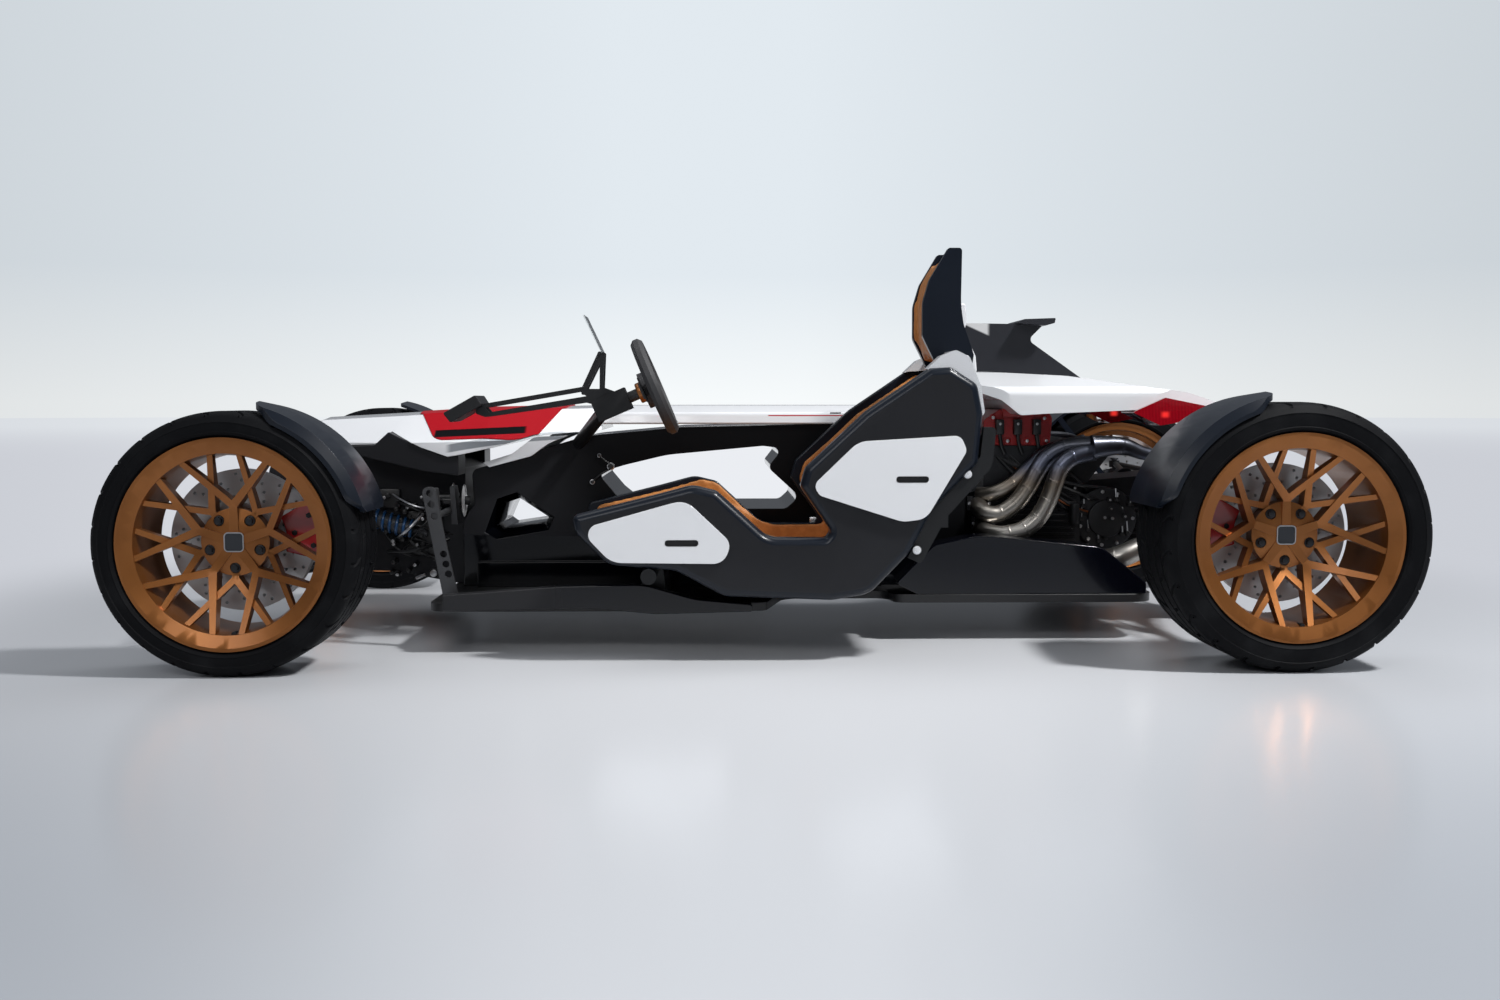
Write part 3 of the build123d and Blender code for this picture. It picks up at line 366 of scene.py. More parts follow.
# The five bolts stand in the rim's holes with 1 mm round them, and touch neither the rim nor the disc behind.
for (end, side), (hub, width, way) in corners.items():
    softened(f"{end}_rim_{side}", f"rim_{end}_{side}", [copper], 0.0011, f"wheel_{end}_{side}", "copper_rim",
             2, 30)
    face_y = hub[1] + way * (width / 2 - dishes[end])
    bm = bmesh.new()
    for number in range(5):
        turn = math.radians(126 + 72 * number)
        spot = (hub[0] + 0.060 * math.cos(turn), face_y - way * 0.016, hub[2] + 0.060 * math.sin(turn))
        stub(bm, spot, way, 0.0112, 0.010, 32, 0.0012)
        stub(bm, (spot[0], spot[1] + way * 0.008, spot[2]), way, 0.0088, 0.0115, 6, 0.0010)
    valve = math.radians(-86)
    inner = Vector((hub[0] + 0.203 * math.cos(valve), hub[1] + way * (width / 2 - 0.052),
                    hub[2] + 0.203 * math.sin(valve)))
    stub(bm, inner, way, 0.0042, 0.020, 12, 0.0008)
    stub(bm, (inner.x, inner.y + way * 0.018, inner.z), way, 0.0055, 0.012, 12, 0.0010)
    closed(bm, f"wheel_bolts_{end}_{side}", [bolt_black], f"wheel_{end}_{side}", "black_satin")
    bm = bmesh.new()
    cap = bmesh.ops.create_grid(bm, x_segments=1, y_segments=1, size=0.0225, matrix=Matrix.Translation(
        (hub[0], face_y - way * 0.0025, hub[2])) @ Matrix.Rotation(math.radians(-90 * way), 4, "X"))["verts"]
    bmesh.ops.bevel(bm, geom=cap, offset=0.0095, segments=6, affect="VERTICES", profile=0.5, material=-1)
    plate = bmesh.ops.extrude_face_region(bm, geom=bm.faces[:])["geom"]
    tip = [g for g in plate if isinstance(g, bmesh.types.BMVert)]
    bmesh.ops.translate(bm, verts=tip, vec=(0, way * 0.0050, 0))
    bmesh.ops.recalc_face_normals(bm, faces=bm.faces)
    front = [f for f in bm.faces if f.normal.y * way > 0.9]
    bmesh.ops.inset_region(bm, faces=front, thickness=0.0022, depth=0.0)
    bmesh.ops.inset_region(bm, faces=front, thickness=0.0008, depth=-0.0016)
    for face in front:
        face.material_index = 1
    closed(bm, f"wheel_cap_{end}_{side}", [plain_steel, cap_grey], f"wheel_{end}_{side}", "bare_steel")

# Brakes: cross-drilled steel discs on dark hats, with cast red calipers bolted over them. The rear discs are
# one piece here with the half shafts, whose joints sit in ribbed rubber boots.
def rings(finish, axle_x, axle_z):
    """Distance from the axle, in metres."""
    across, _, up = finish.place()
    return ((across - axle_x) * (across - axle_x) + (up - axle_z) * (up - axle_z)).sum("SQRT")


boot_rubber = Finish("boot_rubber", (0.014, 0.014, 0.015), Roughness=0.55)
boot_rubber.set(Roughness=0.45 + boot_rubber.noise(40.0) * 0.25)
boot_rubber.bump(boot_rubber.noise(350.0), 0.0001)
caliper_red = Finish("caliper_red", (0.42, 0.012, 0.014), Roughness=0.34, Coat_Weight=0.6,
                     Coat_Roughness=0.12)
caliper_red.set(Base_Color=caliper_red.mixed(
    caliper_red.noise(30.0), (0.36, 0.010, 0.012), (0.47, 0.014, 0.017)))
caliper_red.bump(caliper_red.noise(260.0), 0.00012)
disc_finishes = {}
for end, axle_x, axle_z in (("front", front_x, front_radius), ("rear", rear_x, rear_radius)):
    turned_steel = Finish(f"turned_steel_{end}", (0.33, 0.335, 0.345), Metallic=1.0, Roughness=0.3)
    out = rings(turned_steel, axle_x, axle_z)
    marks = turned_steel.noise(4.0, 2.0)
    line = (out * 900.0 + marks * 3.0).wave()
    hat_to_disc = out.step(0.082, 0.094)
    turned_steel.set(Base_Color=turned_steel.mixed(hat_to_disc, (0.030, 0.031, 0.034), (0.52, 0.525, 0.535)),
                     Roughness=0.36 + line * 0.05, Metallic=0.4)
    turned_steel.bump(line, 0.00002)
    disc_finishes[end] = turned_steel
for (end, side), (hub, width, way) in corners.items():
    mount = car_half - dishes[end] - hub_depth
    disc_y = way * (mount - 0.032)
    drills = bmesh.new()
    for number in range(18):
        for distance, lead in ((0.102, 0.0), (0.121, 5.0), (0.138, 10.0), (0.153, 15.0)):
            turn = math.radians(number * 20 + lead)
            spot = Vector((hub[0] + distance * math.cos(turn), disc_y, hub[2] + distance * math.sin(turn)))
            bmesh.ops.create_cone(
                drills, cap_ends=True, segments=10, radius1=0.0038, radius2=0.0038, depth=0.05,
                matrix=Matrix.Translation(spot) @ Matrix.Rotation(math.pi / 2, 4, "X"))
    drill_mesh = bpy.data.meshes.new("drills")
    drills.to_mesh(drill_mesh)
    drills.free()
    drill = bpy.data.objects.new("drills", drill_mesh)
    bpy.context.scene.collection.objects.link(drill)
    node = f"front_brake_disc_{side}" if end == "front" else f"rear_half_shaft_{side}"
    disc = softened(
        node, f"brake_disc_{end}_{side}", [disc_finishes[end], boot_rubber], 0, f"wheel_{end}_{side}",
        "bare_steel", paint=lambda spot, normal: 1 if 0.1265 < abs(spot.y) < 0.60 else 0)
    holes = disc.modifiers.new("drilled", "BOOLEAN")
    holes.operation, holes.solver, holes.object = "DIFFERENCE", "EXACT", drill
    bpy.context.view_layer.update()
    drilled = bpy.data.meshes.new_from_object(disc.evaluated_get(bpy.context.evaluated_depsgraph_get()))
    disc.modifiers.clear()
    disc.data = drilled
    drilled.set_sharp_from_angle(angle=math.radians(30))
    bpy.data.objects.remove(drill)
    if end == "rear":
        bm = bmesh.new()
        for number in range(7):
            low = 0.136 + number * 0.0105
            big = 0.0478 - number * 0.0022
            turned(bm, [(big - 0.006, way * low), (big + 0.0026, way * (low + 0.0030)),
                        (big + 0.0026, way * (low + 0.0060)), (big - 0.006, way * (low + 0.0090))],
                   (hub[0], 0, hub[2]), 40)
        closed(bm, f"shaft_boot_{side}", [boot_rubber], f"wheel_rear_{side}", "black_satin")

for side in ("left", "right"):
    softened(f"front_caliper_{side}", f"caliper_front_{side}", [caliper_red], 0.0045, f"knuckle_{side}",
             "red_cast", 3)
softened("rear_calipers", "calipers_rear", [caliper_red], 0.0045, "chassis", "red_cast", 3)
for (end, side), (hub, width, way) in corners.items():
    mount = car_half - dishes[end] - hub_depth
    bm = bmesh.new()
    for turn in (-12, 12, 0):
        angle = math.radians((8 if end == "front" else 172) + turn)
        distance = 0.170 if turn else 0.128
        spot = (hub[0] + distance * math.cos(angle), way * (mount + 0.0030),
                hub[2] + distance * math.sin(angle))
        stub(bm, spot, way, 0.0068, 0.0040, 6, 0.0006)
    body = f"knuckle_{side}" if end == "front" else "chassis"
    closed(bm, f"caliper_bolts_{end}_{side}", [bolt_black], body, "black_satin")

# Hub carriers: cast alloy, machined where the ball joints and bearings sit, and painted dark.
cast_dark = Finish("cast_dark", (0.045, 0.047, 0.052), Metallic=0.55, Roughness=0.5)
grain = cast_dark.noise(240.0, 4.0)
cast_dark.set(Base_Color=cast_dark.mixed(cast_dark.noise(14.0), (0.030, 0.031, 0.035), (0.062, 0.064, 0.070)),
              Roughness=0.38 + grain * 0.25)
cast_dark.bump(grain, 0.00025)
for side in ("left", "right"):
    softened(f"front_knuckle_{side}", f"knuckle_front_{side}", [cast_dark], 0.0014, f"knuckle_{side}",
             "dark_frame")
softened("rear_carriers", "carriers_rear", [cast_dark], 0.0014, "chassis", "dark_frame")

# Wishbones and tie rods: welded steel tube in black powder coat; the rack runs in a turned steel housing.
powder = Finish("powder_black", (0.008, 0.0085, 0.0095), Roughness=0.42, Specular_IOR_Level=0.3)
peel = powder.noise(420.0, 2.0)
powder.set(Roughness=0.34 + peel * 0.2)
powder.bump(peel, 0.00008)
softened("front_wishbones", "wishbones_front", [powder], 0.0008, "chassis", "black_satin")
softened("rear_wishbones", "wishbones_rear", [powder], 0.0008, "chassis", "black_satin")
for end, axle_x, wall_y, arms in (("front", front_x, 0.175, ((0.130, 0.190), (0.110, 0.385))),
                                  ("rear", rear_x, 0.120, ((0.110, 0.225), (0.100, 0.385)))):
    bm = bmesh.new()
    for way in (-1, 1):
        for reach_x, height in arms:
            for lead in (-1, 1):
                middle = Vector((axle_x + lead * reach_x, (wall_y + 0.004) * way, height))
                place = Matrix.Translation(middle + Vector((-lead * 0.014, 0, 0)))
                cube = bmesh.ops.create_cube(
                    bm, size=1.0, matrix=place @ Matrix.Diagonal((0.058, 0.052, 0.034, 1)))["verts"]
                bmesh.ops.bevel(bm, geom=list({e for v in cube for e in v.link_edges}), offset=0.006,
                                segments=3, affect="EDGES", profile=0.5, material=-1)
    closed(bm, f"arm_brackets_{end}", [cast_dark], "chassis", "dark_frame")
softened("steering_rack", "rack_and_tie_rods", [plain_steel], 0.0008, "rack", "bare_steel")
bm = bmesh.new()
for way in (-1, 1):
    for number in range(8):
        low = 0.180 + number * 0.0044
        turned(bm, [(0.0128, way * low), (0.0178, way * (low + 0.0014)), (0.0178, way * (low + 0.0028)),
                    (0.0128, way * (low + 0.0042))], (-1.10, 0, 0.237), 24)
closed(bm, "rack_bellows", [boot_rubber], "chassis", "black_satin")

# Dampers: black bodies with bright rods, inside coil springs that are powder-coated blue.
softened("dampers", "damper_bodies", [cast_dark, plain_steel], 0.0006, "chassis", "blue_spring")
spring_blue = Finish("spring_blue", (0.012, 0.075, 0.21), Roughness=0.32, Coat_Weight=0.4)
spring_blue.set(Base_Color=spring_blue.mixed(
    spring_blue.noise(40.0), (0.006, 0.036, 0.10), (0.009, 0.050, 0.14)))
coils, coil_steps = 6.5, 156
bm = bmesh.new()
for way in (-1, 1):
    for foot, head, radius in (((-1.165, way * 0.199, 0.345), (-0.900, way * 0.199, 0.262), 0.0245),
                               ((1.163, way * 0.440, 0.222), (1.100, way * 0.134, 0.415), 0.0245)):
        foot, head = Vector(foot), Vector(head)
        run = (head - foot).normalized()
        low = foot + (head - foot) * 0.40
        length = (head - foot).length * 0.45
        side_way = run.orthogonal().normalized()
        facing = run.cross(side_way).to_track_quat("Z", "Y").to_matrix().to_4x4()
        wire = bmesh.ops.create_circle(bm, cap_ends=False, segments=8, radius=0.0042,
                                       matrix=Matrix.Translation(low + side_way * radius) @ facing)["verts"]
        wire_edges = list({e for v in wire for e in v.link_edges})
        bmesh.ops.spin(bm, geom=wire + wire_edges, cent=low, axis=run, dvec=run * (length / coil_steps),
                       angle=math.tau * coils, steps=coil_steps)
closed(bm, "damper_springs", [spring_blue], "chassis", "blue_spring")

# Fenders: thin moulded guards in black-blue gloss, creased along the crown and held on flat dark stays.
night_gloss = Finish("night_gloss", (0.004, 0.006, 0.012), Roughness=0.3, Coat_Weight=0.06,
                     Coat_Roughness=0.12, Specular_IOR_Level=0.24)
night_shade = night_gloss.noise(2.5)
night_gloss.set(Base_Color=night_gloss.mixed(night_shade, (0.003, 0.005, 0.0095), (0.005, 0.008, 0.0145)),
                Roughness=0.26 + night_gloss.noise(5.0) * 0.08)
night_gloss.bump(night_gloss.noise(500.0, 1.0), 0.00003)
for side in ("left", "right"):
    softened(f"front_fender_{side}", f"fender_front_{side}", [night_gloss], 0.0022, f"knuckle_{side}",
             "black_gloss", 3)
softened("rear_fenders", "fenders_rear", [night_gloss], 0.0022, "chassis", "black_gloss", 3)

# Nose tub and frame: welded and bonded dark structure. Its upper flanks are satin graphite, and the sills
# below them are finished in black gloss.
graphite = Finish("satin_graphite", (0.020, 0.0205, 0.024), Metallic=0.35, Roughness=0.36,
                  Specular_IOR_Level=0.35)
fleck = graphite.noise(600.0, 1.0)
graphite.set(Base_Color=graphite.mixed(graphite.noise(3.0), (0.011, 0.0115, 0.0135), (0.018, 0.0185, 0.0215)),
             Roughness=0.29 + fleck * 0.14)
graphite.bump(fleck, 0.00004)
frame_paint = Finish("frame_paint", (0.02, 0.02, 0.023), Metallic=0.3, Roughness=0.35, Coat_Roughness=0.06,
                     Specular_IOR_Level=0.18)
x, y, z = frame_paint.place()
low_line = (z - 0.262 + (x + 0.75).size() * 0.02).step(-0.002, 0.002)
inside = y.size().step(0.2145, 0.2125)
fleck = frame_paint.noise(600.0, 1.0)
dark_or_satin = low_line * (1 - inside)
satin = frame_paint.mixed(x.step(-0.42, -0.62), (0.0028, 0.0029, 0.0036), (0.017, 0.0172, 0.0195))
frame_paint.set(Base_Color=frame_paint.mixed(dark_or_satin, (0.0012, 0.0015, 0.0025), satin),
                Roughness=0.11 + dark_or_satin * (0.19 + fleck * 0.12), Metallic=dark_or_satin * 0.35,
                Coat_Weight=(1 - dark_or_satin) * 0.3)
frame_paint.bump(fleck * dark_or_satin, 0.00004)
softened("nose_tub", "tub", [graphite], 0.003, "chassis", "dark_frame", 3)
softened("spine_frame", "spine", [frame_paint], 0.004, "chassis", "dark_frame", 3)

# Floor and skirts: a flat stepped floor in satin black, with skirts that change from satin graphite at the
# front to dark gloss at the rear, and gloss fairings beside the engine.
floor_black = Finish("floor_black", (0.010, 0.010, 0.011), Roughness=0.38)
scuff = floor_black.noise(30.0, 6.0, (1, 0.15, 1))
floor_black.set(Roughness=0.28 + scuff * 0.24)
floor_black.bump(floor_black.noise(300.0), 0.00006)
softened("floor", "undertray", [floor_black], 0.002, "chassis", "black_satin")
skirt_paint = Finish("skirt_paint", (0.01, 0.01, 0.012), Roughness=0.3, Coat_Roughness=0.05,
                     Specular_IOR_Level=0.3)
x, y, z = skirt_paint.place()
rearwards = x.step(-0.62, -0.40)
skirt_paint.set(Base_Color=skirt_paint.mixed(rearwards, (0.022, 0.022, 0.024), (0.0015, 0.0018, 0.004)),
                Roughness=0.40 - rearwards * 0.27, Coat_Weight=rearwards * 0.25,
                Metallic=0.3 - rearwards * 0.3)
skirt_paint.bump(skirt_paint.noise(450.0, 1.0), 0.00003)
softened("side_skirts", "skirts_and_fairings", [skirt_paint], 0.0045, "chassis", "black_gloss", 4)

# Nose cowl: a moulded skin in pearl white lacquer, with a silver sweep under its red oval and a dark faceted
# duct below. Two separate blades close it on to the spine.
pearl = Finish("pearl_white", (0.72, 0.73, 0.75), Roughness=0.20, Coat_Weight=0.7, Coat_Roughness=0.05)
pearl_fleck = pearl.noise(900.0, 1.0)
pearl.set(Base_Color=pearl.mixed(pearl.noise(2.0), (0.66, 0.67, 0.69), (0.70, 0.71, 0.725)),
          Roughness=0.16 + pearl_fleck * 0.10)
pearl.bump(pearl_fleck, 0.00001)
cowl_paint = Finish("cowl_paint", (0.72, 0.73, 0.75), Roughness=0.20, Coat_Weight=0.7, Coat_Roughness=0.05)
x, y, z = cowl_paint.place()
sweep_line = z - 0.508 - (x + 0.80) * 0.105 + (x + 0.66) * (x + 0.66) * 0.25
band = sweep_line.step(-0.014, -0.011) * sweep_line.step(0.010, 0.007)
band = band * x.step(-0.835, -0.815) * x.step(-0.505, -0.53)
band = band * y.size().step(0.20, 0.215)
cowl_paint.set(Base_Color=cowl_paint.mixed(band, (0.66, 0.67, 0.69), (0.30, 0.32, 0.345)),
               Roughness=0.18 + cowl_paint.noise(900.0, 1.0) * 0.08, Metallic=band * 0.5)
cowl_paint.bump(cowl_paint.noise(900.0, 1.0), 0.00001)
softened("nose_cowl", "cowl", [cowl_paint], 0.006, "chassis", "pearl_white", 4, limit=12)
red_lacquer = Finish("red_lacquer", (0.33, 0.002, 0.008), Roughness=0.5, Specular_IOR_Level=0.06)
x, y, z = red_lacquer.place()
# The slot across the red oval is painted, not cut: its near-black is painted shade, with a bump that sinks
# it.
slot_shade = (z - 0.541 - (x + 0.73) * 0.045).size().step(0.0095, 0.0085)
slot_shade = slot_shade * x.step(-0.868, -0.862) * x.step(-0.622, -0.630)
slot_shade = slot_shade * y.size().step(0.20, 0.205)
red_lacquer.set(Base_Color=red_lacquer.mixed(slot_shade, (0.33, 0.002, 0.008), (0.002, 0.002, 0.003)),
                Roughness=0.36 + slot_shade * 0.25 + red_lacquer.noise(12.0) * 0.06)
red_lacquer.bump(slot_shade * -1.0, 0.002)
softened("roundel", "oval_patch", [red_lacquer], 0.0007, "chassis", "red_cast")
softened("nose_ducts", "ducts", [graphite], 0.0022, "chassis", "dark_frame")

# Spine cover and engine cover: more of the pearl skin, with open panel joints, and the intake's hump.
cover_paint = Finish("cover_paint", (0.72, 0.73, 0.75), Roughness=0.20, Coat_Weight=0.6, Coat_Roughness=0.05)
x, y, z = cover_paint.place()
on_side = y.size().step(0.208, 0.214)
pin_line = (z - 0.583).size().step(0.0020, 0.0014) * x.step(0.020, 0.026) * x.step(0.336, 0.330) * on_side
# The mouth is an opening on each side drawn only as paint: its near-black is painted shade, with a bump that
# sinks it.
mouth = (z - 0.592).size().step(0.0048, 0.0040) * (x - 0.205).size().step(0.0150, 0.0140) * on_side
lined = cover_paint.mixed(pin_line, (0.64, 0.65, 0.67), (0.36, 0.02, 0.03))
cover_paint.set(Base_Color=cover_paint.mixed(mouth, lined, (0.01, 0.01, 0.012)),
                Roughness=0.17 + cover_paint.noise(900.0, 1.0) * 0.1)
cover_paint.bump(mouth * -1.0, 0.002)
softened("spine_cover", "spine_skin", [cover_paint], 0.007, "chassis", "pearl_white", 4)
softened("engine_cover", "engine_skin", [pearl], 0.010, "chassis", "pearl_white", 4, limit=14)

# Tail fin: a hollow carbon moulding in black satin that carries a small winglet, and the lamps in red lens.
fin_paint = Finish("fin_satin", (0.024, 0.025, 0.029), Roughness=0.34, Metallic=0.2)
x, y, z = fin_paint.place()
corner = (z - 0.824 + (x - 0.60) * 0.45).step(0.0, 0.006) * x.step(0.652, 0.640)
fin_paint.set(Base_Color=fin_paint.mixed(corner, (0.018, 0.019, 0.024), (0.60, 0.60, 0.60)),
              Roughness=0.28 + fin_paint.noise(500.0, 1.0) * 0.12)
fin_paint.bump(fin_paint.noise(500.0, 1.0), 0.00004)
softened("tail_fin", "fin", [fin_paint], 0.0025, "chassis", "black_satin", 3)
lens = Finish("red_lens", (0.34, 0.004, 0.010), Roughness=0.07, Coat_Weight=1.0, Coat_Roughness=0.02)
x, y, z = lens.place()
ribs = (x * 260.0).wave()
# The lamps are not lit: the small emitting spot on the lens is a painted highlight.
painted_glow = (x - 1.072).size().step(0.016, 0.002) * (z - 0.586).size().step(0.012, 0.002)
lens.set(Base_Color=lens.mixed(ribs * 0.5 + 0.5, (0.16, 0.002, 0.006), (0.36, 0.004, 0.012)),
         Emission_Color=lens.mixed(painted_glow, (0, 0, 0), (1.0, 0.04, 0.03)), Emission_Strength=0.8)
softened("tail_lights", "lamps", [lens], 0.0045, "chassis", "red_lens", 4)

# Engine: sand-cast alloy painted dark, with red crackle-finished covers over the valve gear.
engine_alloy = Finish("engine_alloy", (0.05, 0.05, 0.054), Metallic=0.7, Roughness=0.45)
sand = engine_alloy.noise(320.0, 5.0)
stains = engine_alloy.noise(9.0, 4.0)
engine_alloy.set(Base_Color=engine_alloy.mixed(stains, (0.010, 0.010, 0.011), (0.040, 0.040, 0.043)),
                 Roughness=0.34 + sand * 0.3)
engine_alloy.bump(sand, 0.0004)
softened("engine", "engine_castings", [engine_alloy], 0.0035, "chassis", "engine_cast")
crackle = Finish("crackle_red", (0.42, 0.012, 0.012), Roughness=0.45)
cells = crackle.cells(420.0)
crackle.set(Base_Color=crackle.mixed(cells, (0.40, 0.006, 0.007), (0.22, 0.003, 0.004)))
crackle.bump(cells, 0.0003)
softened("cam_covers", "valve_covers", [crackle], 0.006, "chassis", "red_cast", 3)

# Exhaust: thin titanium tube in welded segments. Heat has turned it straw and blue near the heads and it
# stays bright grey below.
titanium = Finish("titanium", (0.36, 0.345, 0.325), Metallic=1.0, Roughness=0.28)
x, y, z = titanium.place()
heat = (z - 0.30) * 4.2 + titanium.noise(7.0) * 0.35 - 0.1
tint = titanium.node("ValToRGB", {"stops": [
    (0.0, (0.40, 0.38, 0.35)), (0.25, (0.34, 0.315, 0.28)), (0.5, (0.23, 0.19, 0.15)),
    (0.72, (0.11, 0.12, 0.16)), (1.0, (0.05, 0.052, 0.06))]}, {0: heat})
titanium.set(Base_Color=tint, Roughness=0.24 + titanium.noise(45.0, 4.0) * 0.2)
titanium.bump(titanium.noise(150.0, 3.0), 0.0001)


def hose(bm, points, radius, sides=12, pitch=0.012):
    """A round run along a smooth curve through the points; radius is one number, or one for each point."""
    points = [Vector(point) for point in points]
    radii = radius if isinstance(radius, (list, tuple)) else [radius] * len(points)
    line, thick = [], []
    for number, (here, there) in enumerate(zip(points, points[1:])):
        before, after = points[max(number - 1, 0)], points[min(number + 2, len(points) - 1)]
        count = max(2, math.ceil((there - here).length / pitch))
        for step in range(count + (number == len(points) - 2)):
            t = step / count
            square, cube = before * 2 - here * 5 + there * 4 - after, here * 3 - before - there * 3 + after
            line.append((here * 2 + (there - before) * t + square * t ** 2 + cube * t ** 3) * 0.5)
            thick.append(radii[number] * (1 - t) + radii[number + 1] * t)
    aside = (line[1] - line[0]).orthogonal().normalized()
    rounds = []
    for number, (spot, size) in enumerate(zip(line, thick)):
        run = (line[min(number + 1, len(line) - 1)] - line[max(number - 1, 0)]).normalized()
        aside = (aside - run * aside.dot(run)).normalized()
        turns = [math.tau * k / sides for k in range(sides)]
        rounds.append([bm.verts.new(spot + (aside * math.cos(a) + run.cross(aside) * math.sin(a)) * size)
                       for a in turns])
    for first, second in zip(rounds, rounds[1:]):
        for k in range(sides):
            bm.faces.new((first[k], first[(k + 1) % sides], second[(k + 1) % sides], second[k]))
    bm.faces.new(rounds[0][::-1])
    bm.faces.new(rounds[-1])


upper_run = [(0.600, 0.186, 0.343), (0.598, 0.236, 0.326), (0.622, 0.250, 0.316), (0.652, 0.250, 0.320),
             (0.690, 0.250, 0.346), (0.722, 0.250, 0.388), (0.748, 0.250, 0.434), (0.778, 0.251, 0.474),
             (0.822, 0.262, 0.498), (0.885, 0.290, 0.506)]
lower_run = [(0.612, 0.186, 0.288), (0.606, 0.262, 0.272), (0.630, 0.292, 0.266), (0.665, 0.302, 0.269),
             (0.705, 0.303, 0.282), (0.740, 0.303, 0.312), (0.766, 0.303, 0.358), (0.784, 0.303, 0.408),
             (0.800, 0.303, 0.446), (0.832, 0.303, 0.474), (0.888, 0.303, 0.488)]
tail_run = [(0.880, 0.310, 0.499), (0.960, 0.310, 0.503), (1.035, 0.305, 0.480), (1.180, 0.270, 0.470)]
third_run = [(0.600, 0.186, 0.366), (0.640, 0.212, 0.372), (0.690, 0.214, 0.398), (0.735, 0.205, 0.440),
             (0.790, 0.205, 0.486), (0.872, 0.262, 0.512)]
low_piece = [(0.850, 0.176, 0.215), (0.890, 0.240, 0.192), (0.955, 0.288, 0.202), (1.015, 0.286, 0.226),
             (1.06, 0.280, 0.240)]
bm = bmesh.new()
for way in (-1, 1):
    for run, radius, collar in ((upper_run, 0.0240, range(3, 9)), (lower_run, 0.0240, range(3, 10)),
                                (tail_run, [0.0330, 0.0230, 0.0170, 0.0160], (1, 2)),
                                (third_run, 0.0215, (2, 3)),
                                (low_piece, [0.020, 0.022, 0.030, 0.030, 0.024], (2,))):
        points = [Vector((px, py * way, pz)) for px, py, pz in run]
        hose(bm, points, radius, 20, 0.009)
        for number in collar:
            way_on = (points[number + 1] - points[number - 1]).normalized()
            size = radius[number] if isinstance(radius, list) else radius
            spot = points[number]
            hose(bm, [spot - way_on * 0.0034, spot, spot + way_on * 0.0034],
                 [size - 0.0004, size + 0.0007, size - 0.0004], 24, 0.003)
closed(bm, "exhaust", [titanium], "chassis", "titanium", ["exhaust_pipes"], 50)

# Engine bay: cast ribs, bolted covers, coils and looms, with bright plated fixings. Dense small parts show
# here in the photo. The looms and small fixings are invented, in seeded random places, not traced ones, and
# two of the small ones on each side touch nothing.
wire_black = Finish("loom_black", (0.006, 0.006, 0.0065), Roughness=0.4)
wire_black.set(Roughness=0.32 + wire_black.noise(160.0) * 0.2)
wire_black.bump(wire_black.noise(700.0, 1.0), 0.0001)
loom_tan = Finish("loom_tan", (0.20, 0.055, 0.012), Roughness=0.45)
loom_tan.set(Roughness=0.38 + loom_tan.noise(90.0) * 0.2)


def block(bm, low, high, lip=0.0015):
    """A box between two corners with its edges bevelled."""
    size = [abs(b - a) for a, b in zip(low, high)]
    middle = [(a + b) / 2 for a, b in zip(low, high)]
    made = bmesh.ops.create_cube(
        bm, size=1.0, matrix=Matrix.Translation(middle) @ Matrix.Diagonal((*size, 1)))["verts"]
    bmesh.ops.bevel(bm, geom=list({e for v in made for e in v.link_edges}), offset=lip, segments=2,
                    affect="EDGES", profile=0.5, material=-1)


def side_pieces(side, *rows):
    """Several pieces for one side of the chassis, each from a mesh, a name, a finish and a slot."""
    for bm, name, finish, slot in rows:
        closed(bm, f"{name}_{side}", [finish], "chassis", slot)


